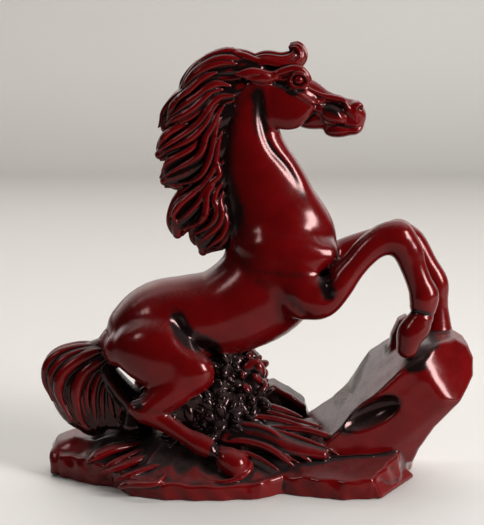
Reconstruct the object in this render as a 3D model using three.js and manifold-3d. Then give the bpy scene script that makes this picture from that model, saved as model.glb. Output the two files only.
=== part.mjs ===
// A rearing horse on a rocky base, cast in dark red resin.
// Millimetres, +X the way the horse faces, +Z up, origin at the middle of the flat underside.
import * as THREE from 'three';
import { ConvexGeometry } from 'three/addons/geometries/ConvexGeometry.js';
import { mergeVertices } from 'three/addons/utils/BufferGeometryUtils.js';
import Module from 'manifold-3d';

const wasm = await Module();
wasm.setup();

// Clearance
const BOND_GAP = 0.3; // the bond line left between two neighbouring castings

// Base
const BASE_WALL = 4.6; // height of the nearly upright rim
const MOUND_RISE = 8.0; // how far the ground climbs from the rim to its middle
const RIM_CHAMFER = 0.8; // at the foot of the rim
const RIM_SHELF = 2.0; // the ground stays level this far in from the rim
const MOUND_RUN = 15.0; // and climbs to its full height over this distance
const MOUND_FULLNESS = 0.75; // below 1 the mound bulges
// The rim's plan, with how far the rim stands above BASE_WALL there: from the tail end along the
// front round to the rock end and back.
const RIM_PLAN = [
  [-45.3, 4.6, 0.6], [-42.6, -3.7, 1.2], [-35.9, -8.5, 1.8], [-29.0, -11.8, 0.6], [-24.2, -18.5, 0.2],
  [-15.7, -21.5, 0.0], [-5.0, -22.2, -0.8], [6.8, -20.7, -0.2], [12.4, -16.6, 0.2], [18.0, -19.0, -0.8],
  [26.9, -21.5, 0.4], [33.3, -20.7, 0.8], [40.9, -10.8, 1.0], [46.0, 5.0, 0.4], [43.5, 13.5, 0.4],
  [36.0, 19.0, 0.4], [25.0, 21.0, 0.4], [13.0, 22.2, 0.4], [0.0, 21.0, 0.4], [-12.0, 22.2, 0.4],
  [-24.0, 20.5, 0.4], [-35.0, 16.5, 0.4], [-43.0, 11.5, 0.4],
];
const LEDGE_RADII = [6.0, 6.2, 4.4]; // the rounded boulder at the tail end
const PLATE_LEFT = 12.0; // the smooth slope in front of the rock begins here
const PLATE_BLEND = 5.0;
const PLATE_SLOPE = 0.26; // height gained per mm away from the front
const CORNER_APEX = 3.5; // height of the pointed corner above the rim

// Rock under the forefeet
const ROCK_LEDGE = 2.2; // from the middle of a forefoot to the front or back face
const ROCK_BEVEL = 1.2;
const ROCK_MIDDLE_Y = 0.5;
const ROCK_TOP = 20.6; // level that the forefeet stand on, above the ground's middle
const ROCK_TIP_REACH = 59.4; // how far the overhanging tip comes out
const ROCK_SEAT_DEPTH = 1.0; // how far the rock goes down into the base's rim
const ROCK_HOLLOW_RADII = [7.6, 5.2, 3.8]; // scooped out of the front face
const ROCK_HOLLOW_TURN = 50; // degrees
const SOCKET_RADII = [3.6, 2.8, 2.8]; // the small pocket under the near forefoot
const ROCK_KNOB_DEPTH = 5.6; // the knob between the forefeet
const ROCK_KNOB_BEVEL = 1.0;

// Low rock behind the horse
const REAR_ROCK_DEPTH = 9.0;
const REAR_ROCK_BEVEL = 1.5;
const REAR_ROCK_MIDDLE_Y = 13.0;
const REAR_ROCK_TOP = 6.9; // above the ground's middle

// Trunk: half heights and half widths
const DOCK_HALF_HEIGHT = 5.4;
const RUMP_HALF_HEIGHT = 8.4;
const LOIN_HALF_HEIGHT = 10.4;
const BARREL_HALF_HEIGHT = 11.0;
const CHEST_HALF_HEIGHT = 13.2;
const DOCK_HALF_WIDTH = 5.0;
const RUMP_HALF_WIDTH = 8.8;
const BARREL_HALF_WIDTH = 10.6;
const CHEST_HALF_WIDTH = 10.0;
const SHOULDER_RADII = [9.4, 4.4, 9.2];
const UPPER_ARM_RADII = [5.6, 3.8, 6.4];

// Neck
const NECK_ROOT_HALF_DEPTH = 12.6;
const NECK_MIDDLE_HALF_DEPTH = 10.4;
const THROAT_HALF_DEPTH = 6.4;
const NECK_ROOT_HALF_WIDTH = 8.7;
const NECK_MIDDLE_HALF_WIDTH = 6.0;
const THROAT_HALF_WIDTH = 4.9;

// Head
const CHEEK_HALF_DEPTH = 7.0;
const FACE_HALF_DEPTH = 5.3;
const MUZZLE_HALF_DEPTH = 4.8;
const CHEEK_HALF_WIDTH = 4.8;
const FACE_HALF_WIDTH = 3.7;
const MUZZLE_HALF_WIDTH = 3.4;
const EAR_SEAT = 0.9; // how far in from the cheek's side the ear is rooted
const EAR_HALF_WIDTH = 1.7;
const EAR_HALF_THICKNESS = 1.2;
const FORELOCK_RADIUS = 2.0;

// Mane and tail
const MANE_HALF_WIDTH = 4.6; // sideways, at the crest
const MANE_LOCK_HALF_HEIGHT = 5.0;
const MANE_RIB_RADIUS = 1.05;
const TAIL_HALF_DEPTH = 7.3;
const TAIL_HALF_WIDTH = 4.5;
const TAIL_RIB_RADIUS = 1.1;

// Forelegs
const FORELEG_INSET = 0.7; // from the side of the chest to the leg's middle
const ELBOW_RADIUS = 6.0;
const FOREARM_RADIUS = 4.3;
const KNEE_RADIUS = 4.2;
const FORE_CANNON_RADIUS = 3.0;
const FORE_FETLOCK_RADIUS = 3.6;
const FORE_PASTERN_RADIUS = 3.1;
const FORE_HOOF_RADIUS = 4.2;

// Hind legs
const HIP_INSET = 1.8; // from the side of the rump to the thigh's middle
const STIFLE_OUTSET = 0.4; // the next three are outward from the side of the barrel
const HOCK_OUTSET = 1.4;
const HIND_HOOF_OUTSET = 5.4;
const THIGH_HALF_HEIGHT = 8.6;
const THIGH_HALF_WIDTH = 5.4;
const GASKIN_RADIUS = 4.5;
const HOCK_RADIUS = 3.4;
const HIND_CANNON_RADIUS = 2.3;
const HIND_FETLOCK_RADIUS = 2.9;
const HIND_HOOF_RADIUS = 4.3;

// Plants
const FOLIAGE_TOP = 19.2; // where the leaves meet the belly, above the ground's middle
const BLADE_HALF_WIDTH = 1.7;
const BLADE_HALF_THICKNESS = 1.0;

// Facets
const RING_POINTS = 12;
const STEPS_PER_SPAN = 2;
const CAP_RINGS = 2;
const RIB_POINTS = 5;
const RIDGE_POINTS = 8;
const CAP_ROUNDNESS = 0.8; // a rounded end's length as a share of its smaller half size
const GROUND_RINGS = [0.9, 0.75, 0.54, 0.3]; // shares of the rim's plan
const CUTTER_REACH = 150; // a cutting block is larger than the whole object

// Heights of all that stands on the base are measured from the ground's middle.
const GROUND = BASE_WALL + MOUND_RISE;
const RIM = -MOUND_RISE;

// Where the limbs lie, sideways from the middle plane
const FORELEG_SPREAD = CHEST_HALF_WIDTH - FORELEG_INSET;
const HIP_SPREAD = RUMP_HALF_WIDTH - HIP_INSET;
const STIFLE_SPREAD = BARREL_HALF_WIDTH + STIFLE_OUTSET;
const HOCK_SPREAD = BARREL_HALF_WIDTH + HOCK_OUTSET;
const HIND_HOOF_SPREAD = BARREL_HALF_WIDTH + HIND_HOOF_OUTSET;
const EAR_SPREAD = CHEEK_HALF_WIDTH - EAR_SEAT;
const ROCK_DEPTH = 2 * (FORELEG_SPREAD + ROCK_LEDGE);

const RESIN = { color: 0x5c0a0c, roughness: 0.28, metalness: 0.0 };
const DARK_RESIN = { color: 0x2b0607, roughness: 0.34, metalness: 0.0 };

// Makes a manifold solid of a closed geometry.
function solidOf(geometry) {
  const bare = geometry.index ? geometry.toNonIndexed() : geometry.clone();
  bare.deleteAttribute('normal');
  bare.deleteAttribute('uv');
  const merged = mergeVertices(bare, 1e-4);
  return new wasm.Manifold(new wasm.Mesh({
    numProp: 3,
    vertProperties: new Float32Array(merged.attributes.position.array),
    triVerts: new Uint32Array(merged.index.array),
  }));
}

// Keeps the largest body of a cut solid, so that no crumb is left beside it.
function largestBody(triangles, vertexCount) {
  const parent = Array.from({ length: vertexCount }, (_, i) => i);
  const rootOf = (i) => {
    let node = i;
    while (parent[node] !== node) {
      parent[node] = parent[parent[node]];
      node = parent[node];
    }
    return node;
  };
  for (let i = 0; i < triangles.length; i += 3) {
    parent[rootOf(triangles[i])] = rootOf(triangles[i + 1]);
    parent[rootOf(triangles[i + 1])] = rootOf(triangles[i + 2]);
  }
  const counts = new Map();
  for (let i = 0; i < triangles.length; i += 3) {
    const root = rootOf(triangles[i]);
    counts.set(root, (counts.get(root) || 0) + 1);
  }
  const biggest = [...counts.entries()].sort((a, b) => b[1] - a[1])[0][0];
  const kept = [];
  for (let i = 0; i < triangles.length; i += 3) {
    if (rootOf(triangles[i]) === biggest) kept.push(triangles[i], triangles[i + 1], triangles[i + 2]);
  }
  return kept;
}

function geometryOf(solid) {
  const mesh = solid.getMesh();
  const vertexCount = mesh.vertProperties.length / mesh.numProp;
  const geometry = new THREE.BufferGeometry();
  const positions = new Float32Array(vertexCount * 3);
  for (let i = 0; i < vertexCount; i += 1) {
    for (let k = 0; k < 3; k += 1) positions[i * 3 + k] = mesh.vertProperties[i * mesh.numProp + k];
  }
  geometry.setAttribute('position', new THREE.BufferAttribute(positions, 3));
  geometry.setIndex(largestBody(Array.from(mesh.triVerts), vertexCount));
  geometry.computeVertexNormals();
  return geometry;
}

// Closes a stack of equal rings into one geometry, with a point at each end.
function skin(rings, firstPoint, lastPoint) {
  const count = rings[0].length;
  const positions = [...rings.flat(), firstPoint, lastPoint].flatMap((p) => [p.x, p.y, p.z]);
  const first = rings.length * count;
  const last = first + 1;
  const index = [];
  for (let i = 0; i < count; i += 1) {
    const next = (i + 1) % count;
    index.push(first, next, i);
    for (let r = 0; r < rings.length - 1; r += 1) {
      const low = r * count;
      const high = low + count;
      index.push(low + i, low + next, high + next, low + i, high + next, high + i);
    }
    const top = (rings.length - 1) * count;
    index.push(last, top + i, top + next);
  }
  const geometry = new THREE.BufferGeometry();
  geometry.setAttribute('position', new THREE.Float32BufferAttribute(positions, 3));
  geometry.setIndex(index);
  return geometry;
}

// A limb through stations [x, y, z, half height, half width], with rounded or flat ends.
function limb(stations, {
  grow = 0, flatStart = false, flatEnd = false, points = RING_POINTS, steps = STEPS_PER_SPAN, caps = CAP_RINGS,
} = {}) {
  const curve = new THREE.CatmullRomCurve3(
    stations.map(([x, y, z]) => new THREE.Vector3(x, y, GROUND + z)), false, 'centripetal');
  const halves = new THREE.CatmullRomCurve3(
    stations.map((station) => new THREE.Vector3(station[3], station[4], 0)), false, 'catmullrom', 0.5);
  const spans = stations.length - 1;
  const rings = [];
  const ringAt = (t, shift, share) => {
    const centre = curve.getPoint(t);
    const tangent = curve.getTangent(t);
    const side = new THREE.Vector3(0, 1, 0).addScaledVector(tangent, -tangent.y).normalize();
    const normal = new THREE.Vector3().crossVectors(side, tangent);
    const half = halves.getPoint(t);
    centre.addScaledVector(tangent, shift);
    return Array.from({ length: points }, (_, i) => {
      const angle = (2 * Math.PI * i) / points;
      return centre.clone()
        .addScaledVector(normal, (half.x + grow) * share * Math.cos(angle))
        .addScaledVector(side, (half.y + grow) * share * Math.sin(angle));
    });
  };
  const capLength = (t) => CAP_ROUNDNESS * Math.min(halves.getPoint(t).x, halves.getPoint(t).y) + grow;
  const startCap = flatStart ? grow : capLength(0);
  const endCap = flatEnd ? grow : capLength(1);
  const turn = Math.PI / 2 / (caps + 1);
  if (!flatStart) {
    for (let k = caps; k > 0; k -= 1) {
      rings.push(ringAt(0, -startCap * Math.sin(k * turn), Math.cos(k * turn)));
    }
  } else if (grow > 0) {
    rings.push(ringAt(0, -startCap, 1));
  }
  for (let s = 0; s <= spans * steps; s += 1) {
    rings.push(ringAt(s / (spans * steps), 0, 1));
  }
  if (!flatEnd) {
    for (let k = 1; k <= caps; k += 1) {
      rings.push(ringAt(1, endCap * Math.sin(k * turn), Math.cos(k * turn)));
    }
  } else if (grow > 0) {
    rings.push(ringAt(1, endCap, 1));
  }
  const startPoint = curve.getPoint(0).addScaledVector(curve.getTangent(0), -startCap);
  const endPoint = curve.getPoint(1).addScaledVector(curve.getTangent(1), endCap);
  return solidOf(skin(rings, startPoint, endPoint));
}

// Turned by some degrees in the side view, the front end upward.
function ellipsoid([x, y, z], [rx, ry, rz], grow = 0, turn = 0) {
  const geometry = new THREE.SphereGeometry(1, 9, 6);
  geometry.scale(rx + grow, ry + grow, rz + grow);
  geometry.rotateY(-THREE.MathUtils.degToRad(turn));
  geometry.translate(x, y, GROUND + z);
  return solidOf(geometry);
}

// All that lies beyond a plane through a point.
function beyond([x, y, z], normal, grow = 0) {
  const geometry = new THREE.BoxGeometry(CUTTER_REACH, CUTTER_REACH, CUTTER_REACH);
  geometry.translate(0, 0, CUTTER_REACH / 2 + grow);
  const outward = new THREE.Vector3(...normal).normalize();
  const turn = new THREE.Quaternion().setFromUnitVectors(new THREE.Vector3(0, 0, 1), outward);
  geometry.applyQuaternion(turn);
  geometry.translate(x, y, GROUND + z);
  return solidOf(geometry);
}

const join = (solids) => solids.reduce((whole, solid) => whole.add(solid));
const cut = (solid, others) => others.reduce((rest, other) => rest.subtract(other), solid);

// A side view (x, z) extruded across the object, with bevelled faces.
function slab(outline, depth, bevel, middleY, grow = 0) {
  const shape = new THREE.Shape(outline.map(([x, z]) => new THREE.Vector2(x, z)));
  const geometry = new THREE.ExtrudeGeometry(shape, {
    depth: depth - 2 * bevel,
    bevelThickness: bevel + grow,
    bevelSize: bevel,
    bevelOffset: grow - bevel,
    bevelSegments: 1,
    steps: 1,
  });
  geometry.rotateX(Math.PI / 2);
  geometry.translate(0, middleY + (depth - 2 * bevel) / 2, GROUND);
  return solidOf(geometry);
}

// How far a point lies in from the rim, both in plan.
function distanceIn(x, y, outline) {
  const here = new THREE.Vector3(x, y, 0);
  const nearest = new THREE.Vector3();
  const flat = outline.map((point) => new THREE.Vector3(point.x, point.y, 0));
  return Math.min(...flat.map((start, i) => {
    const side = new THREE.Line3(start, flat[(i + 1) % flat.length]);
    return side.closestPointToPoint(here, true, nearest).distanceTo(here);
  }));
}

// Ground level: level behind the rim, then a mound, but a smooth slope in front of the rock.
function groundLevel(x, y, rimLevel, outline) {
  const { clamp, lerp, smoothstep } = THREE.MathUtils;
  const climb = smoothstep(distanceIn(x, y, outline), RIM_SHELF, RIM_SHELF + MOUND_RUN);
  const mound = lerp(rimLevel, GROUND, climb ** MOUND_FULLNESS);
  const plate = BASE_WALL + PLATE_SLOPE * (y + 20.5);
  const rightward = clamp((x - PLATE_LEFT) / PLATE_BLEND, 0, 1);
  const frontward = clamp((-y - 1.0) / PLATE_BLEND, 0, 1);
  return lerp(mound, plate, rightward * frontward);
}

// A leaf lying on the ground: stations [x, y, height above the ground's middle, radius].
const ridge = (stations, grow) => limb(
  stations.map(([x, y, z, r]) => [x, y, z, r, r * 1.7]), { grow, points: RIDGE_POINTS, steps: 1, caps: 1 });

// The pointed corner in front of the rock: a low pyramid with its foot on the underside.
function corner(grow) {
  const apex = BASE_WALL + CORNER_APEX;
  const points = [
    [38.4, -9.0, apex], [33.8, -20.4, apex - 3.8], [30.0, -20.4, apex - 5.3], [30.0, 0, apex - 1.7],
    [32.0, 0, apex - 0.9], [35.8, -20.4, 0], [30.0, -20.4, 0], [30.0, 0, 0], [43.5, 0, 0],
  ].map((point) => new THREE.Vector3(...point));
  const middle = new THREE.Vector3(35, -9, apex / 2);
  points.forEach((point) => {
    const outward = point.clone().sub(middle).setLength(grow);
    outward.z = Math.max(outward.z, 0);
    point.add(outward);
  });
  return solidOf(new ConvexGeometry(points));
}

// The base: a wall along the rim's plan, and the ground with what is cast on it.
function basePlinth(grow = 0) {
  const plan = new THREE.CatmullRomCurve3(
    RIM_PLAN.map(([x, y, rise]) => new THREE.Vector3(x, y, BASE_WALL + rise)), true, 'centripetal');
  const outline = plan.getPoints(RIM_PLAN.length * 2).slice(0, -1);
  const ring = (share, inset, level) => outline.map((point) => {
    const reach = Math.hypot(point.x, point.y);
    const scale = share - inset / reach + grow / reach;
    const x = point.x * scale;
    const y = point.y * scale;
    return new THREE.Vector3(x, y, level ?? groundLevel(x, y, point.z, outline) + grow);
  });
  const rings = [ring(1, RIM_CHAMFER, 0), ring(1, 0, RIM_CHAMFER)];
  rings.push(outline.map((point, i) => rings[1][i].clone().setZ(point.z + grow)));
  GROUND_RINGS.forEach((share) => rings.push(ring(share, 0)));
  const ground = skin(rings, new THREE.Vector3(0, 0, 0), new THREE.Vector3(0, 0, GROUND + grow));
  return join([
    solidOf(ground),
    corner(grow),
    ellipsoid([-39.6, 3.2, RIM + 0.8], LEDGE_RADII, grow),
    ridge([[-34.0, -8.2, -6.2, 0.9], [-29.3, -6.5, -4.2, 1.3], [-21.1, -4.0, -3.2, 0.7]], grow),
    ridge([[-27.4, -11.6, -7.4, 0.6], [-23.2, -11.5, -6.2, 1.0], [-16.0, -9.0, -4.6, 0.7]], grow),
    ridge([[-24.0, -17.8, -8.4, 0.7], [-20.4, -19.4, -8.2, 0.9], [-15.6, -18.4, -7.0, 0.6]], grow),
  ]);
}

// The rock leans out past the base; its top carries both forefeet.
function rockOutcrop(grow = 0) {
  const tip = ROCK_TIP_REACH;
  const foot = RIM - ROCK_SEAT_DEPTH;
  const outline = [
    [15.0, -2.6], [25.6, 4.4], [29.4, 8.2], [32.0, 12.4], [34.6, 16.4], [38.4, ROCK_TOP - 1.6],
    [41.8, ROCK_TOP], [tip - 5.0, ROCK_TOP + 0.7], [tip - 2.2, ROCK_TOP - 1.0], [tip, ROCK_TOP - 5.4],
    [tip - 3.3, 9.0], [49.4, 1.4], [46.0, -4.6], [44.8, RIM], [39.4, foot], [20.0, foot],
  ];
  const facets = [
    [[30.0, -10.5, 6.0], [-0.69, -0.20, 0.69]],
    [[tip - 10.0, -11.0, 14.4], [0.26, -0.90, 0.34]],
    [[tip - 3.8, -8.4, 16.4], [0.74, -0.58, 0.34]],
    [[53.0, -10.4, 7.9], [0.36, -0.80, -0.48]],
    [[40.0, -11.0, -0.6], [0.06, -0.97, -0.22]],
  ];
  const block = cut(slab(outline, ROCK_DEPTH, ROCK_BEVEL, ROCK_MIDDLE_Y, grow), [
    ...facets.map(([at, normal]) => beyond(at, normal, grow)),
    ellipsoid([36.4, -14.4, 7.6], ROCK_HOLLOW_RADII, -grow, ROCK_HOLLOW_TURN),
    ellipsoid([44.6, -11.0, ROCK_TOP - 1.4], SOCKET_RADII, -grow),
  ]);
  const knob = [
    [38.6, ROCK_TOP - 3.2], [39.6, ROCK_TOP + 1.8], [41.4, ROCK_TOP + 5.6], [43.0, ROCK_TOP + 6.2],
    [45.4, ROCK_TOP + 0.8], [46.0, ROCK_TOP - 3.2],
  ];
  return join([block, slab(knob, ROCK_KNOB_DEPTH, ROCK_KNOB_BEVEL, 3.5, grow)]);
}

function rearRock(grow = 0) {
  const outline = [
    [-6.0, RIM], [-2.0, 2.4], [3.5, REAR_ROCK_TOP - 1.0], [9.1, REAR_ROCK_TOP], [13.5, 4.6],
    [18.7, 2.3], [21.5, -0.6], [21.0, RIM],
  ];
  return slab(outline, REAR_ROCK_DEPTH, REAR_ROCK_BEVEL, REAR_ROCK_MIDDLE_Y, grow);
}

// Right limbs lie at -Y, on the viewer's side; left limbs at +Y.
const RIGHT = -1;
const LEFT = 1;

// The ring where the neck leaves the trunk belongs to both.
const NECK_ROOT = [12.5, 0, 47.0, NECK_ROOT_HALF_DEPTH, NECK_ROOT_HALF_WIDTH];

const TRUNK = [
  [-27.6, 0, 20.2, DOCK_HALF_HEIGHT, DOCK_HALF_WIDTH],
  [-24.0, 0, 22.8, RUMP_HALF_HEIGHT, RUMP_HALF_WIDTH],
  [-17.7, 0, 25.9, LOIN_HALF_HEIGHT, BARREL_HALF_WIDTH],
  [-10.3, 0, 27.1, LOIN_HALF_HEIGHT + 0.3, BARREL_HALF_WIDTH],
  [-2.4, 0, 28.6, BARREL_HALF_HEIGHT, BARREL_HALF_WIDTH],
  [6.1, 0, 33.3, BARREL_HALF_HEIGHT + 1.7, BARREL_HALF_WIDTH],
  [11.3, 0, 40.3, CHEST_HALF_HEIGHT, CHEST_HALF_WIDTH - 0.5],
  NECK_ROOT,
];
const NECK = [
  [12.6, 0, 43.0, NECK_ROOT_HALF_DEPTH, NECK_ROOT_HALF_WIDTH],
  NECK_ROOT,
  [9.3, 0, 53.9, NECK_ROOT_HALF_DEPTH - 0.8, NECK_ROOT_HALF_WIDTH - 2.1],
  [6.9, 0, 61.2, NECK_MIDDLE_HALF_DEPTH, NECK_MIDDLE_HALF_WIDTH],
  [4.7, 0, 67.3, NECK_MIDDLE_HALF_DEPTH - 1.6, NECK_MIDDLE_HALF_WIDTH - 0.5],
  [3.9, 0, 73.6, THROAT_HALF_DEPTH, THROAT_HALF_WIDTH],
  [4.6, 0, 79.4, THROAT_HALF_DEPTH - 0.8, THROAT_HALF_WIDTH - 0.4],
  [6.2, 0, 83.8, THROAT_HALF_DEPTH - 1.8, THROAT_HALF_WIDTH - 0.8],
];
const HEAD = [
  [9.4, 0, 82.0, CHEEK_HALF_DEPTH - 0.4, CHEEK_HALF_WIDTH - 0.4],
  [13.3, 0, 80.8, CHEEK_HALF_DEPTH, CHEEK_HALF_WIDTH],
  [18.3, 0, 80.3, FACE_HALF_DEPTH + 1.0, FACE_HALF_WIDTH + 0.5],
  [22.4, 0, 79.0, FACE_HALF_DEPTH - 0.1, FACE_HALF_WIDTH],
  [26.0, 0, 77.4, MUZZLE_HALF_DEPTH + 0.3, MUZZLE_HALF_WIDTH],
  [28.9, 0, 76.3, MUZZLE_HALF_DEPTH - 0.8, MUZZLE_HALF_WIDTH],
];
const EAR = [
  [9.0, 0, 86.2, EAR_HALF_WIDTH - 0.3, EAR_HALF_THICKNESS],
  [5.2, 0, 87.0, EAR_HALF_WIDTH, EAR_HALF_THICKNESS],
  [1.4, 0, 87.2, EAR_HALF_WIDTH - 1.1, EAR_HALF_THICKNESS - 0.5],
];
const FORELOCK = [
  [6.4, 0, 89.4, FORELOCK_RADIUS, FORELOCK_RADIUS + 0.8],
  [9.4, 0, 90.4, FORELOCK_RADIUS, FORELOCK_RADIUS + 0.6],
  [12.8, 0, 90.2, FORELOCK_RADIUS, FORELOCK_RADIUS],
  [15.6, 0, 90.6, FORELOCK_RADIUS - 0.4, FORELOCK_RADIUS - 0.4],
  [15.9, 0, 93.0, FORELOCK_RADIUS - 0.8, FORELOCK_RADIUS - 0.8],
  [14.2, 0, 94.2, FORELOCK_RADIUS - 1.1, FORELOCK_RADIUS - 1.1],
];

// Six tiers of mane from the poll down: the lock's path as [x, z] from the crest to its tip.
const MANE_PATHS = [
  [[5.4, 88.6], [0.4, 88.5], [-5.1, 87.2], [-9.5, 84.4], [-11.8, 82.0]],
  [[1.6, 83.8], [-4.4, 81.6], [-10.1, 78.3], [-14.0, 76.5], [-15.8, 75.8]],
  [[0.4, 77.6], [-5.6, 75.0], [-11.1, 71.6], [-15.0, 69.3], [-17.4, 68.1]],
  [[-0.9, 70.8], [-6.1, 67.4], [-11.5, 63.4], [-14.8, 61.7], [-16.2, 61.2]],
  [[-1.6, 63.8], [-6.3, 59.1], [-10.4, 54.8], [-12.8, 51.6], [-13.4, 50.0]],
  [[-0.4, 56.8], [-3.6, 52.0], [-5.6, 47.8], [-6.8, 45.2]],
];
const LOCK_TAPER = [0.72, 0.98, 0.98, 0.68, 0.36];
const LOCK_WIDTHS = [0.9, 0.98, 0.88, 0.64, 0.4];
// The main ribs of hair on each tier: how far out they lie, then the path as [x, z].
const MANE_RIBS = [
  [
    [2.4, [2.0, 91.8], [-3.2, 91.6], [-8.7, 88.1], [-12.0, 83.6]],
    [4.0, [1.1, 89.4], [-5.1, 88.9], [-9.8, 85.6], [-11.2, 83.2]],
  ],
  [
    [4.2, [-3.6, 87.3], [-8.1, 85.1], [-12.2, 81.4], [-14.1, 79.0]],
    [4.5, [-0.3, 84.2], [-5.8, 83.7], [-10.3, 80.4], [-15.1, 76.4]],
    [4.5, [-2.2, 83.3], [-7.0, 80.9], [-11.5, 77.4], [-15.6, 74.7]],
  ],
  [
    [4.5, [-2.5, 81.6], [-6.0, 78.1], [-10.1, 73.6], [-17.3, 68.3]],
    [4.5, [-3.2, 80.0], [-6.0, 75.7], [-10.3, 71.4], [-16.3, 68.1]],
  ],
  [
    [4.5, [-4.6, 74.7], [-6.8, 69.5], [-8.5, 67.1], [-16.1, 62.3]],
    [4.4, [-3.7, 73.8], [-4.9, 68.1], [-7.5, 62.6], [-12.8, 60.4]],
  ],
  [
    [4.5, [-3.2, 70.2], [-4.2, 64.7], [-7.3, 60.2], [-14.3, 55.1]],
    [4.5, [-3.5, 65.9], [-4.9, 61.1], [-7.8, 56.5], [-13.1, 51.7]],
  ],
  [
    [4.5, [-2.3, 60.9], [-4.2, 56.8], [-4.2, 51.9], [-8.8, 47.8]],
    [4.1, [-1.8, 55.7], [-1.3, 50.9], [-4.2, 46.3], [-6.2, 44.6]],
  ],
];
const RIB_DEPTHS = [0.84, 1.0, 0.86, 0.58]; // drawn in at the root and at the tip
const RIB_RADII = [0.6, 1.0, 1.0, 0.5];

const TAIL = [
  [-29.6, 0, 19.8, 3.4, 3.0],
  [-33.2, 0, 18.2, TAIL_HALF_DEPTH - 3.2, TAIL_HALF_WIDTH - 1.2],
  [-37.4, 0, 14.4, TAIL_HALF_DEPTH - 1.2, TAIL_HALF_WIDTH - 0.4],
  [-39.3, 0, 9.8, TAIL_HALF_DEPTH, TAIL_HALF_WIDTH],
  [-37.6, 0, 5.8, TAIL_HALF_DEPTH - 1.2, TAIL_HALF_WIDTH - 0.3],
  [-34.6, 0, 3.4, TAIL_HALF_DEPTH - 3.2, TAIL_HALF_WIDTH - 1.2],
];

// The inner hair hangs down between the thighs to the ground.
const INNER_TAIL = [
  [-31.0, 0, 18.4, 2.0, TAIL_HALF_WIDTH - 1.5],
  [-30.6, 0, 13.6, 2.1, TAIL_HALF_WIDTH - 0.5],
  [-27.6, 0, 9.2, 2.6, TAIL_HALF_WIDTH + 0.9],
  [-24.6, 0, 5.8, 2.8, TAIL_HALF_WIDTH + 1.9],
  [-24.2, 0, 1.8, 3.6, TAIL_HALF_WIDTH + 2.5],
];
// A point beside one of the tail's stations, as shares of its half depth.
const outFromTail = (station, across, up) => [
  TAIL[station][0] + across * TAIL_HALF_DEPTH,
  TAIL[station][2] + up * TAIL_HALF_DEPTH,
];
// Ribs of hair: how far out from the middle plane they lie, then the path as [x, z].
const TAIL_RIBS = [
  [
    TAIL_HALF_WIDTH - 2.4, [-30.8, 20.5], outFromTail(2, -0.12, 0.62), outFromTail(2, -0.88, 0.22),
    outFromTail(3, -0.81, 0.30), outFromTail(4, -0.77, 0.11),
  ],
  [TAIL_HALF_WIDTH - 0.4, [-30.2, 19.8], [-37.0, 17.6], [-41.7, 13.6], [-42.3, 8.6], [-39.6, 2.4]],
  [TAIL_HALF_WIDTH - 0.2, [-29.2, 18.6], [-34.6, 15.6], [-37.9, 10.8], [-37.9, 5.6], [-36.4, 0.8]],
];
const TAIL_RIB_DEPTHS = [0.62, 0.9, 1.0, 0.97, 0.86];

const foreSpread = (side) => side * FORELEG_SPREAD;
const FOREARMS = {
  right: [
    [20.4, foreSpread(RIGHT), 33.8, ELBOW_RADIUS, ELBOW_RADIUS - 1.4],
    [27.8, foreSpread(RIGHT), 38.4, ELBOW_RADIUS - 0.8, ELBOW_RADIUS - 1.6],
    [32.6, foreSpread(RIGHT), 44.4, FOREARM_RADIUS, FOREARM_RADIUS - 0.5],
    [38.0, foreSpread(RIGHT), 48.8, KNEE_RADIUS, KNEE_RADIUS - 0.6],
  ],
  left: [
    [22.4, foreSpread(LEFT), 36.8, ELBOW_RADIUS, ELBOW_RADIUS - 1.4],
    [29.4, foreSpread(LEFT), 41.0, ELBOW_RADIUS - 0.8, ELBOW_RADIUS - 1.6],
    [36.0, foreSpread(LEFT), 44.2, FOREARM_RADIUS, FOREARM_RADIUS - 0.5],
    [42.2, foreSpread(LEFT), 46.0, KNEE_RADIUS, KNEE_RADIUS - 0.6],
  ],
};
const FORE_CANNONS = {
  right: [
    [41.0, foreSpread(RIGHT), 45.2, FORE_CANNON_RADIUS + 0.6, FORE_CANNON_RADIUS],
    [44.2, foreSpread(RIGHT), 38.8, FORE_CANNON_RADIUS, FORE_CANNON_RADIUS - 0.3],
    [46.2, foreSpread(RIGHT), 34.6, FORE_FETLOCK_RADIUS, FORE_FETLOCK_RADIUS - 0.5],
    [45.2, foreSpread(RIGHT), 29.8, FORE_PASTERN_RADIUS, FORE_PASTERN_RADIUS - 0.3],
    [43.8, foreSpread(RIGHT), 26.0, FORE_HOOF_RADIUS - 0.6, FORE_HOOF_RADIUS - 0.6],
    [43.4, foreSpread(RIGHT), ROCK_TOP + 0.4, FORE_HOOF_RADIUS, FORE_HOOF_RADIUS],
  ],
  left: [
    [45.6, foreSpread(LEFT), 42.8, FORE_CANNON_RADIUS + 0.4, FORE_CANNON_RADIUS],
    [49.2, foreSpread(LEFT), 37.4, FORE_CANNON_RADIUS, FORE_CANNON_RADIUS - 0.3],
    [50.8, foreSpread(LEFT), 33.6, FORE_FETLOCK_RADIUS, FORE_FETLOCK_RADIUS - 0.5],
    [50.8, foreSpread(LEFT), 29.0, FORE_PASTERN_RADIUS, FORE_PASTERN_RADIUS - 0.3],
    [51.2, foreSpread(LEFT), 25.6, FORE_HOOF_RADIUS - 0.6, FORE_HOOF_RADIUS - 0.6],
    [51.4, foreSpread(LEFT), ROCK_TOP + 0.4, FORE_HOOF_RADIUS, FORE_HOOF_RADIUS],
  ],
};
const thighStations = (side) => [
  [-24.4, side * HIP_SPREAD, 21.2, THIGH_HALF_HEIGHT - 2.8, THIGH_HALF_WIDTH - 0.8],
  [-19.0, side * (HIP_SPREAD + 2), 19.6, THIGH_HALF_HEIGHT, THIGH_HALF_WIDTH],
  [-13.0, side * (STIFLE_SPREAD - 1), 17.2, THIGH_HALF_HEIGHT - 0.2, THIGH_HALF_WIDTH],
  [-9.0, side * STIFLE_SPREAD, 15.8, THIGH_HALF_HEIGHT - 3.0, THIGH_HALF_WIDTH - 0.8],
];
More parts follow.
